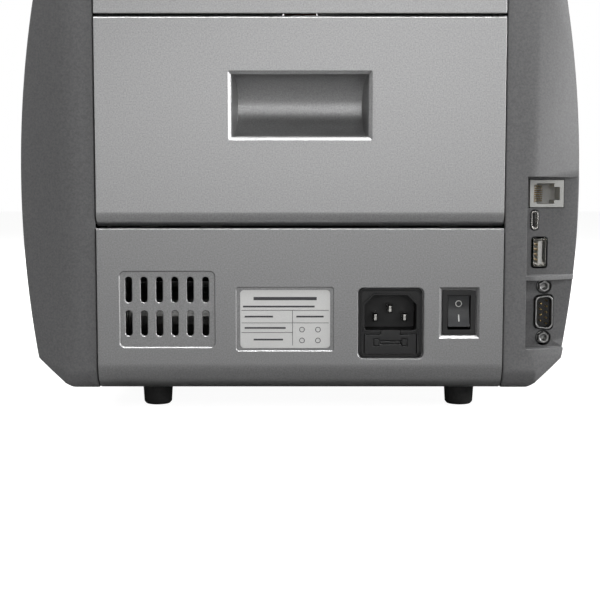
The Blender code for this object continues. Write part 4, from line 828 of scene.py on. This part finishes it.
def front_fascia():
    foot, head = Vector(FASCIA_FOOT), Vector(FASCIA_HEAD)
    along = (head - foot).normalized()
    back = Vector((along.y, -along.x)) * FASCIA_THICK
    outline = [
        tuple(foot), tuple(foot + back + along * 0.002), tuple(head + back - along * 0.002),
        (-0.0692, 0.2172), (-0.0692, HOPPER_RIM), tuple(head),
    ]
    panel = span(outline, PANEL_HALF)
    place = fascia_place()
    window = moved(place, prism(soft_rectangle((0, SCREEN_V), 0.0926, 0.0606, 0.0015), "Z", -0.01, 0.01))
    cut(panel, window)
    for u, w in KEYS.values():
        hole = soft_rectangle((u, KEY_V), w + 0.0008, KEY_HEIGHT + 0.0008, 0.0024)
        cut(panel, moved(place, prism(hole, "Z", -0.01, 0.01)))
    part(panel, "front_fascia", "silver_plastic")
    screen = prism(soft_rectangle((0, SCREEN_V), 0.0920, 0.0600, 0.0012), "Z", -0.0040, -0.0004)
    join(screen, prism(rectangle((0, SCREEN_V), 0.0980, 0.0660), "Z", -0.0062, -FASCIA_THICK - GAP))
    part(moved(place, screen), "display_screen", "glass")
    for name, (u, w) in KEYS.items():
        key = prism(soft_rectangle((u, KEY_V), w, KEY_HEIGHT, 0.0020), "Z", -0.0060, KEY_TOP)
        flange = rectangle((u, KEY_V), w + 0.0030, KEY_HEIGHT + 0.0030)
        join(key, prism(flange, "Z", -0.0066, -FASCIA_THICK - GAP))
        part(moved(place, key), name, "key_plastic")


def front_chin():
    front = FRONT + SET_BACK
    outer = rounded(box_outline(front, -0.1120, CASE_BOTTOM, CHIN_TOP), [0.008, 0, 0, 0.0035])
    inner = box_outline(front + WALL, -0.10, CASE_BOTTOM + WALL, CHIN_TOP - WALL)
    inner = rounded(inner, [0.0055, 0, 0, 0.001])
    chin = span(outer, PANEL_HALF)
    cut(chin, span(inner, PANEL_HALF + 0.01))
    part(chin, "front_chin", "silver_plastic")


def base_tray():
    tray = block((-PANEL_HALF, -0.1110, CASE_BOTTOM), (PANEL_HALF, 0.1110, CASE_BOTTOM + WALL))
    for side in (-1, 1):
        rib = block((side * 0.0920, -0.1085, CASE_BOTTOM + 0.001), (side * 0.0902, 0.1085, 0.0165))
        join(tray, rib)
    for row in range(5):
        slot = soft_rectangle((-0.030, 0.055 + 0.009 * row), 0.050, 0.0040, 0.0019, 2)
        cut(tray, prism(slot, "Z", 0, 0.02))
    for x, y in FEET.values():
        cut(tray, rod("Z", (x, y), 0, 0.02, 0.0019, sides=12))
    part(tray, "base_tray", "dark_plastic")


def feet():
    for name, (x, y) in FEET.items():
        top = CASE_BOTTOM - GAP
        foot = turned([(0.0, 0.0058), (0.0012, 0.0068), (top, 0.0073)], (x, y, 0))
        cut(foot, rod("Z", (x, y), -0.01, 0.0050, 0.0034, sides=12))
        cut(foot, rod("Z", (x, y), 0.0, 0.02, 0.0018, sides=12))
        part(foot, name, "rubber")


def rear_door():
    """The panel with its hinge roll, two cheeks and the pocket of the grip."""
    skin = [(REAR, DOOR_TOP - 0.001), (REAR - 0.001, DOOR_TOP), (REAR - WALL, DOOR_TOP)]
    skin += arc((HINGE_Y, HINGE_Z), HINGE_RADIUS - WALL, 0, -180, 8)
    skin += arc((HINGE_Y, HINGE_Z), HINGE_RADIUS, -180, 0, 12)
    door = span(skin, PANEL_HALF)
    ends = ((PANEL_HALF - 0.002, PANEL_HALF, HINGE_RADIUS - 0.0008), (0.0945, PIN_END, HINGE_PIN))
    cheek = [(0.1030, 0.1000), (REAR - 0.001, 0.1000), (REAR - 0.001, 0.1800), (0.1040, 0.1740)]
    cheek = rounded(cheek, [0.004, 0, 0, 0.004], 2)
    for side in (-1, 1):
        for inner, outer, radius in ends:
            join(door, rod("X", (HINGE_Y, HINGE_Z), side * inner, side * outer, radius))
        join(door, prism(cheek, "X", side * 0.0885, side * 0.0905))
    opening = 0.0291
    scoop_y = REAR - 0.0020
    scoop_z = GRIP_Z - opening / 2 + GRIP_RADIUS - 0.0005
    around = GRIP_RADIUS + 0.0018
    shell = arc((scoop_y, scoop_z), around, 90, 270, 12)
    shell += [(REAR - 0.001, scoop_z - around), (REAR - 0.001, scoop_z + around)]
    join(door, span(shell, GRIP_HALF + 0.002))
    scoop = arc((scoop_y - 0.0005, scoop_z), GRIP_RADIUS - 0.0005, 90, 270, 12)
    pocket = span(scoop, GRIP_HALF)
    cut(door, common(pocket, grip_ends()))
    cut(door, flared_recess((0, GRIP_Z), 2 * GRIP_HALF, opening, 0.0016, 0.0028))
    for z in (UPPER_DRIVE[1], LOWER_DRIVE[1]):
        cut(door, rod("X", (IDLER_Y, z), -0.1, 0.1, 0.0020 + GAP, sides=12))
    part(door, "rear_door", "silver_plastic")


def grip_ends():
    """A block that narrows inwards, which gives the pocket's two ends their draft."""
    rings = []
    for y, half in ((REAR - 0.022, GRIP_HALF - 0.0030), (REAR - 0.002, GRIP_HALF - 0.0001)):
        rings.append(lifted(rectangle((0, GRIP_Z), 2 * half, 0.060), y))
    return loft(rings)


def retard_place():
    reach = FEED_R + RETARD_R + GAP
    return FEED[0] + reach * math.cos(RETARD_ANGLE), FEED[1] + reach * math.sin(RETARD_ANGLE)


def stacker_liner():
    places = (POCKET_FLOOR_FRONT, POCKET_FLOOR_REAR, POCKET_BACK_TOP)
    floor_front, floor_rear, back_top = (Vector(place) for place in places)
    drop = Vector((0, -0.0022))
    shove = Vector((0.0022, 0))
    bowl = [floor_front, floor_rear, back_top, back_top + shove]
    bowl += [floor_rear + drop + shove, floor_front + drop]
    liner = span(bowl, INNER_HALF)
    front, lip = LINER_FRONT, CHIN_TOP + GAP
    ceiling = [(front, 0.1167), (-0.0300, 0.1138), (-0.0300, 0.1116), (front, 0.1145)]
    join(liner, span(ceiling, INNER_HALF))
    for side in (-1, 1):
        wall = [(front + 0.0005, lip), (-0.1112, lip), (-0.1112, 0.0437), (-0.0600, 0.0345)]
        wall += [(-0.0300, 0.0345), (-0.0300, 0.1130), (front + 0.0005, 0.1160)]
        join(liner, prism(wall, "X", side * 0.0902, side * 0.0921))
        join(liner, block((side * 0.0903, front, lip), (side * PANEL_HALF, front + 0.0020, 0.1165)))
        x = side * WHEEL_X
        cut(liner, block((x - 0.0085, -0.0700, 0.0400), (x + 0.0085, -0.0320, 0.0900)))
    cut(liner, rod("X", STACKER, -0.1, 0.1, SHAFT + 0.001, sides=16))
    part(liner, "stacker_liner", "black_plastic")


def hopper_tray():
    rear, front = FLOOR_REAR, (FLOOR_FRONT_Y, floor_z(FLOOR_FRONT_Y))
    apron_low = arc(FEED, 0.0118, 135, 46, 6)
    apron_back = arc(FEED, 0.0098, 46, 135, 6)
    profile = [(-0.0560, HOPPER_RIM), front, rear, *apron_low, *apron_back]
    profile += [(rear[0] - 0.001, rear[1] - 0.0036), (front[0], front[1] - WALL)]
    profile += [(-0.0560, 0.2165), (-0.0680, 0.2165), (-0.0680, HOPPER_RIM)]
    tray = span(profile, INNER_HALF)
    wall = [(-0.0560, HOPPER_RIM), (-0.0560, 0.2170), (-0.0450, 0.2100), (0.0560, 0.1830)]
    wall += [(0.0700, 0.1790), (0.0840, 0.1840), (0.0900, HOPPER_RIM)]
    for side in (-1, 1):
        join(tray, prism(wall, "X", side * HOPPER_HALF, side * INNER_HALF))
        join(tray, block((side * HOPPER_HALF, -0.0680, 0.2185), (side * PANEL_HALF, 0.0900, HOPPER_RIM)))
        for y, z, half in ((*PICKUP, 0.0150), (*FEED, 0.0160)):
            x = side * FEED_X
            cut(tray, block((x - 0.0075, y - half, z - 0.01), (x + 0.0075, y + half, z + 0.03)))
        inner, outer = side * (GUIDE_X - GUIDE_TRAVEL - 0.0025), side * (GUIDE_X + 0.0021)
        cut(tray, block((inner, PINION[1] - 0.0045, 0.19), (outer, PINION[1] + 0.0045, 0.21)))
        for place in (FEED, PICKUP):
            cut(tray, rod("X", place, side * 0.08, side * 0.10, SHAFT + 0.001, sides=16))
    x, y = PINION
    join(tray, rod("Z", (x, y), RACK_Z[0] - 0.0005, floor_z(y) - 0.001, 0.0020, sides=12))
    join(tray, rod("Z", (x, y), RACK_Z[1] + GAP, floor_z(y) - 0.001, 0.0045, sides=12))
    part(tray, "hopper_tray", "black_plastic")


def hopper_guides():
    low, foot = 0.0005, RACK_Z[0] + 0.0009
    fin = [(0.0560, floor_z(0.0560) + low), (0.0700, 0.2330)]
    fin += [(0.0050, 0.2390), (-0.0260, floor_z(-0.0260) + low)]
    fin = rounded(fin, [0.001, 0.006, 0.012, 0.001], 3)
    stem = [(-0.0154, foot), (-0.0086, foot), (-0.0084, 0.2103), (-0.0157, 0.2107)]
    for side, name in ((-1, "hopper_guide_left"), (1, "hopper_guide_right")):
        x = side * GUIDE_X
        guide = prism(rack_outline(side, PINION_TEETH * TOOTH_MODULE / 2), "Z", *RACK_Z)
        join(guide, prism(stem, "X", x - 0.0007, x + 0.0007))
        join(guide, prism(fin, "X", x - 0.0010, x + 0.0010))
        part(guide, name, "black_plastic")


def rack_outline(side, pitch):
    """A rack along X on one side of the pinion, in x and y. The right guide's is behind it."""
    step = math.pi * TOOTH_MODULE
    addendum, dedendum, back = 0.9 * TOOTH_MODULE, 1.15 * TOOTH_MODULE, 0.0026
    half_gap = step / 4 + 0.00010
    lean = math.tan(TOOTH_ANGLE)
    near, far = GUIDE_X - 0.0012, GUIDE_X + 0.0012
    points = [(RACK_END, pitch + dedendum), (RACK_END, pitch + back), (far, pitch + back)]
    points += [(far, -0.0040), (near, -0.0040), (near, pitch + dedendum)]
    # Space by space towards the far end: a space lies opposite each tooth of the pinion.
    last = int((GUIDE_TRAVEL + 0.012) / step)
    for k in range(last, -6, -1):
        middle = k * step
        root = half_gap - dedendum * lean
        crest = half_gap + addendum * lean
        if k == last:
            points.append((middle + crest + 0.0004, pitch + dedendum))
        deep = pitch + dedendum + 0.00003 * (k % 3)
        points += [(middle + crest, pitch - addendum), (middle + root, deep)]
        points += [(middle - root, deep + 0.00001), (middle - crest, pitch - addendum)]
    points += [(-5 * step - crest - 0.0004, pitch + dedendum)]
    return [(side * x + PINION[0], side * y + PINION[1]) for x, y in points]


def adjust_knob():
    stations = [(0.2090, 0.0030), (0.2225, 0.0030), (0.2225, 0.0070), (0.2290, 0.0066), (0.2300, 0.0056)]
    part(turned(stations, (0, KNOB_Y, 0)), "adjust_knob", "black_plastic")


def cavity_outline(width, height, cut_off):
    """The plug's outline, with its two upper corners cut off."""
    x, z = INLET[0], INLET_CAVITY_Z
    w, h = width / 2, height / 2
    lower = [(x - w, z - h), (x + w, z - h), (x + w, z + h - cut_off), (x + w - cut_off, z + h)]
    return [*lower, (x - w + cut_off, z + h), (x - w, z + h - cut_off)]


def blades():
    """x, z, width and height of the earth blade and the two live ones."""
    x, z = INLET[0], INLET_CAVITY_Z - 0.0025
    return [(x + dx, z + dz, 0.0020, 0.0040) for dx, dz in ((0, 0.0040), (-0.0070, 0), (0.0070, 0))]


def serial_outline(grow):
    """The D shape of the nine-way port, stood on end with its long side outwards."""
    (x, z), long, short, deep = SERIAL, 0.0169 / 2 + grow, 0.0148 / 2 + grow, 0.0084 / 2 + grow
    corners = [(x - deep, z - long), (x + deep, z - short), (x + deep, z + short), (x - deep, z + long)]
    return rounded(corners, [0.0024] * 4, 2)


# ---- Pieces with more detail than their solids ----
def power_inlet():
    seat = REAR - INLET_RECESS + GAP
    face = seat + 0.0017
    inlet = slab(INLET, 0.0304, 0.0329, seat, seat + 0.0007, 0.0023)
    join(inlet, slab(INLET, 0.0280, 0.0304, seat + 0.0003, face, 0.0014))
    rim = rounded(cavity_outline(0.0262, 0.0183, 0.0048), [0.0020, 0.0020, 0.0006, 0.0006, 0.0006, 0.0006])
    join(inlet, prism(rim, "Y", seat, face + 0.0004))
    join(inlet, slab(INLET, 0.0268, 0.0294, 0.1010, seat + 0.0005))
    cavity = rounded(cavity_outline(0.0248, 0.0169, 0.0045), [0.0014, 0.0014, 0.0003, 0.0003, 0.0003, 0.0003])
    cut(inlet, prism(cavity, "Y", 0.1120, REAR))
    cut(inlet, slab(FUSE, 0.0253, 0.0100, 0.1080, REAR))
    cut(inlet, slab((INLET[0], 0.0375), 0.0095, 0.0030, face - 0.0022, REAR))
    part(inlet, "power_inlet", "black_plastic")
    for i, (x, z, width, height) in enumerate(blades()):
        tip = rectangle((x, z), width - 0.0008, height - 0.0012)
        root = rectangle((x, z), width, height)
        rings = [lifted(root, 0.1122), lifted(root, 0.1235), lifted(tip, 0.1248)]
        detail(loft(rings), f"inlet_blade_{i + 1}", "plated_steel", 0.00012)
        tab = block((x - width / 2, 0.0935, z - height / 2), (x + width / 2, 0.1020, z + height / 2))
        detail(tab, f"inlet_tab_{i + 1}", "plated_steel", 0.00012)


def fuse_drawer():
    face = REAR - INLET_RECESS + GAP + 0.0021
    x, z = FUSE
    drawer = slab(FUSE, 0.0247, 0.0094, 0.1085, face)
    join(drawer, slab((x, 0.0372), 0.0089, 0.0030, face - 0.0022, face))
    cut(drawer, rod("X", (0.1150, 0.0320), x - 0.0105, x + 0.0105, 0.0027, sides=8))
    cut(drawer, block((x - 0.0105, 0.1123, 0.0320), (x + 0.0105, 0.1177, 0.0380)))
    # The sign for a fuse: a body between two caps, each as a groove round its outline
    z += 0.0009
    parts = ((-0.0082, -0.0052, 0.0019), (0.0052, 0.0082, 0.0019), (-0.0052, 0.0052, 0.0009))
    groove = 0.00045
    for left, right, half in parts:
        outer = block((x + left, face - 0.0004, z - half), (x + right, face + 0.01, z + half))
        left, right, half = left + groove, right - groove, half - groove
        core = block((x + left, face - 0.001, z - half), (x + right, face + 0.02, z + half))
        cut(drawer, cut(outer, core))
    part(drawer, "fuse_drawer", "black_plastic")


def power_switch():
    seat = REAR - SWITCH_RECESS + GAP
    frame_top = seat + 0.0016
    bezel = slab(SWITCH, 0.0158, 0.0212, seat, frame_top)
    join(bezel, slab(SWITCH, 0.0128, 0.0188, 0.1130, seat + 0.0005))
    cut(bezel, slab(SWITCH, 0.0109, 0.0162, 0.1180, REAR))
    part(bezel, "switch_frame", "black_plastic")
    for i, x in enumerate((-0.0035, 0.0035)):
        low = (SWITCH[0] + x - 0.0004, 0.1060, SWITCH[1] - 0.0024)
        tab = block(low, (low[0] + 0.0008, 0.1140, SWITCH[1] + 0.0024))
        detail(tab, f"switch_tab_{i + 1}", "plated_steel", 0.0001)
    place = Matrix.Translation((SWITCH[0], 0.1244, SWITCH[1])) @ Matrix.Rotation(ROCKER_TILT, 4, "X")
    face = [(rocker_face(v), v) for v in (ROCKER_HALF - 2 * ROCKER_HALF * i / 16 for i in range(17))]
    back = [(-0.0015, -ROCKER_HALF), (-0.0060, -0.0030), (-0.0060, 0.0030), (-0.0015, ROCKER_HALF)]
    part(moved(place, span([*face, *back][::-1], 0.0052)), "switch_rocker", "rocker")
    ring = ring_mark((0.0, 0.0037), 0.0016, 0.0004)
    detail(moved(place, on_rocker(ring, 0.0037)), "switch_mark_off", "white_ink", 0, "switch_rocker")
    bar = slab((0.0, -0.0032), 0.00055, 0.0034, 0.0, 0.0002)
    detail(moved(place, on_rocker(bar, -0.0032)), "switch_mark_on", "white_ink", 0, "switch_rocker")


ROCKER_HALF = 0.0074


def rocker_face(v):
    """How far the rocker's hollow face stands out, at a distance along it."""
    return 0.0023 + 0.0015 * (abs(v) / ROCKER_HALF) ** 1.7


def on_rocker(mark, v):
    """Lays a mark on the rocker's face, turned to the face's own slope there."""
    slope = (rocker_face(v + 0.0005) - rocker_face(v - 0.0005)) / 0.001
    turn = Matrix.Translation((0, rocker_face(v) + 0.00002, v)) @ Matrix.Rotation(-math.atan(slope), 4, "X")
    return moved(turn @ Matrix.Translation((0, 0, -v)), mark)


def ring_mark(centre, radius, thickness, low=0.0, high=0.0002):
    ring = prism(arc(centre, radius, 0, 345, 8), "Y", low, high)
    return cut(ring, prism(arc(centre, radius - thickness, 0, 345, 8), "Y", low - 0.001, high + 0.001))


def ports():
    face = BAY_FLOOR + 0.0006
    x, z = JACK
    jack = block((x - 0.0081, 0.1000, z - 0.00655), (x + 0.0081, face, z + 0.00655))
    cut(jack, block((x - 0.0035, 0.1060, z - 0.0049), (x + 0.0048, REAR, z + 0.0049)))
    cut(jack, block((x + 0.0040, face - 0.0020, z - 0.0044), (x + 0.0064, REAR, z + 0.0044)))
    cut(jack, block((x - 0.0062, 0.1060, z - 0.0031), (x + 0.0048, REAR, z + 0.0031)))
    part(jack, "modular_jack", "port_plastic")
    for i in range(8):
        height = z + (i - 3.5) * 0.00102
        spring = [(x + 0.0060, face - 0.0002), (x + 0.0056, face + 0.0001)]
        spring += [(x + 0.0006, 0.1095), (x + 0.0010, 0.1092)]
        contact = prism(spring, "Z", height - 0.00024, height + 0.00024)
        detail(contact, f"jack_contact_{i + 1}", "gold")
    x, z = USB_C
    port = slab(USB_C, 0.0032, 0.0089, 0.1090, face, 0.0015)
    cut(port, slab(USB_C, 0.0024, 0.0081, 0.1110, REAR, 0.0011))
    join(port, block((x - 0.0016, 0.1040, z - 0.0045), (x + 0.0016, 0.1095, z + 0.0045)))
    part(port, "usb_c_port", "plated_steel")
    tongue = block((x - 0.00035, 0.1108, z - 0.0033), (x + 0.00035, face - 0.001, z + 0.0033))
    detail(tongue, "usb_c_tongue", "black_plastic", 0.0001)
    x, z = USB_A
    port = slab(USB_A, 0.0061, 0.0134, 0.1010, face, 0.0007)
    cut(port, slab(USB_A, 0.0052, 0.0125, 0.1060, REAR, 0.0004))
    inner, outer = rectangle(USB_A, 0.0052, 0.0125), rectangle(USB_A, 0.0064, 0.0141)
    cut(port, loft([lifted(inner, face - 0.0008), lifted(outer, face + 0.001)]))
    part(port, "usb_a_port", "plated_steel")
    tongue = block((x - 0.0013, 0.1062, z - 0.0055), (x + 0.0006, face - 0.0012, z + 0.0055))
    detail(tongue, "usb_a_tongue", "white_plastic", 0.0001)
    for i in range(4):
        height = z + (i - 1.5) * 0.0024
        strip = block((x + 0.0005, 0.1070, height - 0.0005), (x + 0.0009, face - 0.0020, height + 0.0005))
        detail(strip, f"usb_a_contact_{i + 1}", "gold")
    serial_port(face)


def serial_port(face):
    x, z = SERIAL
    plate = (BAY_FLOOR - WALL - 0.0013, BAY_FLOOR - WALL - GAP)
    port = slab(SERIAL, 0.0122, 0.0308, *plate, 0.0010)
    join(port, prism(serial_outline(0.0), "Y", plate[0] + 0.0002, face + 0.0014))
    cut(port, prism(serial_outline(-0.0006), "Y", face - 0.0040, REAR))
    join(port, block((x - 0.0050, 0.1030, z - 0.0090), (x + 0.0050, plate[0] + 0.0004, z + 0.0090)))
    for dz in (-SERIAL_SCREWS / 2, SERIAL_SCREWS / 2):
        join(port, rod("Y", (x, z + dz), plate[1] - 0.0005, face + 0.0008, 0.0027, sides=2))
        cut(port, rod("Y", (x, z + dz), face - 0.0040, REAR, 0.0013, sides=8))
        cut(port, rod("Y", (x, z + dz), face + 0.0002, face + 0.0010, 0.0012, 0.0020, sides=8))
    part(port, "serial_port", "plated_steel")
    seat = plate[1] + 0.00002
    gasket = slab(SERIAL, 0.0118, 0.0304, seat, plate[1] + 0.0002, 0.0010)
    cut(gasket, prism(serial_outline(0.0001), "Y", plate[0], REAR))
    for dz in (-SERIAL_SCREWS / 2, SERIAL_SCREWS / 2):
        cut(gasket, rod("Y", (x, z + dz), plate[0], REAR, 0.0028, sides=8))
    detail(gasket, "serial_gasket", "black_plastic")
    insert = prism(serial_outline(-0.00065), "Y", face - 0.0041, face - 0.0030)
    detail(insert, "serial_insert", "black_plastic", 0.0001)
    for count, column in ((5, -0.0014), (4, 0.0014)):
        for i in range(count):
            u, v = x + column, z + (i - (count - 1) / 2) * 0.00277
            pin = rod("Y", (u, v), face - 0.0035, face + 0.0006, 0.0005, 0.0004, sides=4)
            detail(pin, f"serial_pin_{count}_{i + 1}", "gold")


def rating_label():
    """A plain foil label. Its rules and grey bars stand for a rating plate's table, and say nothing."""
    x, z = (0.0284 - 0.0143) / 2, (0.0303 + 0.0580) / 2
    back = REAR - 0.0010
    ink = (back + 0.00021, back + 0.00025)
    foil = slab((x, z), 0.0427, 0.0277, back + 0.00003, back + 0.0002, 0.0018)
    detail(foil, "rating_label", "label", 0.00004)
    left, right, split = x + 0.0207, x - 0.0207, x - 0.0035
    rules = [(left, right, z + 0.0042), (left, right, z - 0.0018), (left, split, z - 0.0064)]
    marks = [rectangle(((a + b) / 2, v), abs(a - b), 0.00022) for a, b, v in rules]
    marks.append(rectangle((split, z - 0.0042), 0.00022, 0.0168))
    bars = [(x, z + 0.0098, 0.0300, 0.0015), (x + 0.0030, z + 0.0060, 0.0340, 0.0008)]
    bars += [(x + 0.0125, z + 0.0012, 0.0135, 0.0008), (x - 0.0118, z + 0.0012, 0.0130, 0.0008)]
    bars += [(x + 0.0095, z - 0.0042, 0.0195, 0.0008), (x + 0.0080, z - 0.0098, 0.0140, 0.0008)]
    marks += [rectangle((u, v), wide, high) for u, v, wide, high in bars]
    for i, outline in enumerate(marks):
        detail(prism(outline, "Y", *ink), f"label_mark_{i + 1}", "ink")
    places = [(x + u, z + v) for v in (-0.0050, -0.0102) for u in (-0.0080, -0.0156)]
    for i, place in enumerate(places):
        detail(ring_mark(place, 0.0013, 0.0003, *ink), f"label_ring_{i + 1}", "ink")


def key_marks(place):
    """A plain sign on each key: bars, two notes, an arrow, steps and a cross."""
    middle = {name: u for name, (u, _) in KEYS.items()}
    u, v = middle["key_mode"], KEY_V
    signs = {"mode": [rectangle((u, v + dv), 0.0070, 0.0007) for dv in (-0.0020, 0.0, 0.0020)]}
    u = middle["key_currency"]
    signs["currency"] = [rectangle((u + du, v), 0.0040, 0.0024) for du in (-0.0024, 0.0024)]
    u = middle["key_start"]
    signs["start"] = [[(u - 0.0018, v - 0.0024), (u + 0.0028, v), (u - 0.0018, v + 0.0024)]]
    u = middle["key_batch"]
    signs["batch"] = [
        rectangle((u + 0.0022 * i, v - 0.0012 + 0.0005 * i), 0.0014, 0.0016 + 0.0010 * i) for i in (-1, 0, 1)
    ]
    u, a, b = middle["key_clear"], 0.0022, 0.00045
    cross = [(u - a, v - a + b), (u - a + b, v - a), (u + a, v + a - b), (u + a - b, v + a)]
    signs["clear"] = [cross, [(2 * u - p, q) for p, q in reversed(cross)]]
    for key, outlines in signs.items():
        for i, outline in enumerate(outlines):
            mark = moved(place, prism(outline, "Z", KEY_TOP + 0.00001, KEY_TOP + 0.00006))
            detail(mark, f"{key}_sign_{i + 1}", "white_ink", 0, "key_" + key)


def foot_screws():
    """Cross-head screws with domed heads, sunk in the feet and facing down."""
    dome = [(-0.0013, 0.0010), (-0.0010, 0.0019), (-0.0005, 0.0024), (0.0, 0.0024)]
    for name, (x, y) in FEET.items():
        place = (x, y, 0.0050)
        head = turned(dome, place, 8)
        for turn in (0, 90):
            slot = block((-0.0014, -0.00025, -0.0009), (0.0014, 0.00025, 0.002))
            down = Matrix.Translation(place) @ Matrix.Rotation(math.pi, 4, "X")
            spin = Matrix.Rotation(math.radians(turn), 4, "Z")
            cut(head, moved(down @ Matrix.Translation((0, 0, 0.0009)) @ spin, slot))
        detail(head, name + "_screw", "steel", 0.00008)


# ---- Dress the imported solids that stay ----
def dress():
    white = (0.66, 0.65, 0.62)
    rollers = {
        "upper_drive_roller": (UPPER_DRIVE, SHAFT + 0.0004, (0.04, 0.04, 0.044)),
        "lower_drive_roller": (LOWER_DRIVE, SHAFT + 0.0004, (0.04, 0.04, 0.044)),
        "feed_roller": (FEED, SHAFT + 0.0004, (0.05, 0.05, 0.054)),
        "pickup_roller": (PICKUP, SHAFT + 0.0004, (0.05, 0.05, 0.054)),
        "retard_roller": (retard_place(), 0.0019, (0.10, 0.03, 0.02)),
        "door_idler_upper": ((IDLER_Y, UPPER_DRIVE[1]), 0.0024, white),
        "door_idler_lower": ((IDLER_Y, LOWER_DRIVE[1]), 0.0024, white),
        "exit_idler": (EXIT_IDLER, EXIT_SHAFT + 0.0004, white),
    }
    finishes = {name: tyred(name + "_tyres", *facts) for name, facts in rollers.items()}
    groups = {
        "white_plastic": "guide_pinion",
        "rubber": "main_belt feed_belt",
        "circuit_board": "main_board power_supply",
        "steel": "chassis_plate_left chassis_plate_right stacker_shaft main_motor feed_motor stacker_motor "
        "main_motor_pulley feed_motor_pulley",
    }
    for finish, names in groups.items():
        finishes.update({name: FINISHES[finish] for name in names.split()})
    for name, obj in frame["nodes"].items():
        if obj.hide_render:
            continue
        obj.data.materials.clear()
        obj.data.materials.append(finishes.get(name, FINISHES["black_plastic"]))
        for polygon in obj.data.polygons:
            polygon.material_index = 0


# ---- Stage ----
# The photo's own view, square on from behind
CAMERA_PLACE = (0.0, 0.730, 0.109)
CAMERA_DOWN = math.radians(5.3)
CAMERA_LENS = 76.3  # on a 36 mm sensor


def camera():
    data = put(bpy.data.cameras.new("camera"), lens=CAMERA_LENS, sensor_width=36.0, clip_start=0.01)
    turn = (math.pi / 2 - CAMERA_DOWN, 0.0, math.pi)
    bpy.context.scene.camera = put(placed("camera", data), location=CAMERA_PLACE, rotation_euler=turn)


def area_light(name, place, target, size, energy):
    data = bpy.data.lights.new(name, "AREA")
    put(data, shape="RECTANGLE", size=size[0], size_y=size[1], energy=energy)
    turn = (Vector(target) - Vector(place)).to_track_quat("-Z", "Y").to_euler()
    put(placed(name, data), location=place, rotation_euler=turn)


def world():
    """Faint light from all round, and a white backdrop that only the camera sees."""
    made = bpy.data.worlds.new("studio")
    bpy.context.scene.world = made
    made.use_nodes = True
    tree = made.node_tree
    tree.nodes.clear()
    mix = node(tree, "MixShader", Fac=node(tree, "LightPath").outputs["Is Camera Ray"])
    for socket, strength in zip(mix.inputs[1:], (0.02, 1.0)):
        background = node(tree, "Background", Color=(1.0, 1.0, 1.0, 1.0), Strength=strength)
        tree.links.new(background.outputs["Background"], socket)
    node(tree, "OutputWorld", Surface=mix.outputs["Shader"])


def floor():
    """A pale floor that glows only towards the camera, so that it adds little light of its own."""
    bm = bmesh.new()
    bmesh.ops.create_grid(bm, x_segments=1, y_segments=1, size=4.0)
    mesh = to_mesh(bm, bpy.data.meshes.new("floor"))
    obj = placed("floor", mesh)
    material, tree, shader, where = start_material("studio_floor", 0.9)
    base = ramp(tree, noise(tree, where, 3.0), (0.3, (0.24, 0.24, 0.24)), (0.7, (0.26, 0.26, 0.26)))
    seen = node(tree, "LightPath").outputs["Is Camera Ray"]
    glow = math_node(tree, "MULTIPLY", seen, 0.95)
    wire(tree, shader, Base_Color=base, Emission_Color=(1.0, 1.0, 1.0, 1.0), Emission_Strength=glow)
    mesh.materials.append(material)


# Name, place, the point it faces, width and height, and power in watts
LIGHTS = (
    ("overhead", (-0.05, 0.27, 0.85), (-0.02, 0.14, 0.10), (1.00, 0.12), 8.5),
    ("front_high", (-0.30, 1.20, 0.62), (0.0, 0.10, 0.12), (0.90, 0.20), 2.0),
    ("front_level", (0.0, 1.50, 0.25), (0.0, 0.10, 0.12), (1.20, 0.30), 3.3),
    ("side_right", (-1.05, 0.35, 0.35), (0.0, 0.10, 0.12), (0.40, 0.50), 8.9),
    ("side_left", (1.05, 0.35, 0.35), (0.0, 0.10, 0.12), (0.40, 0.50), 0.8),
    ("user_side", (0.20, -1.20, 0.70), (0.0, -0.10, 0.12), (0.90, 0.60), 24.0),
    ("user_right", (1.10, -0.70, 0.80), (0.0, 0.0, 0.12), (0.60, 0.60), 16.0),
)


def stage():
    camera()
    world()
    floor()
    for light in LIGHTS:
        area_light(*light)
    bpy.context.scene.view_settings.view_transform = "Standard"


def build():
    side_cover(-1, "side_cover_left")
    side_cover(1, "side_cover_right")
    base_tray()
    feet()
    foot_screws()
    rear_lower_panel()
    rear_top_cover()
    note_support()
    front_fascia()
    key_marks(fascia_place())
    front_chin()
    rear_door()
    stacker_liner()
    hopper_tray()
    hopper_guides()
    adjust_knob()
    power_inlet()
    fuse_drawer()
    power_switch()
    ports()
    rating_label()
    dress()
    stage()


build()
bpy.data.collections.remove(CUTTERS)
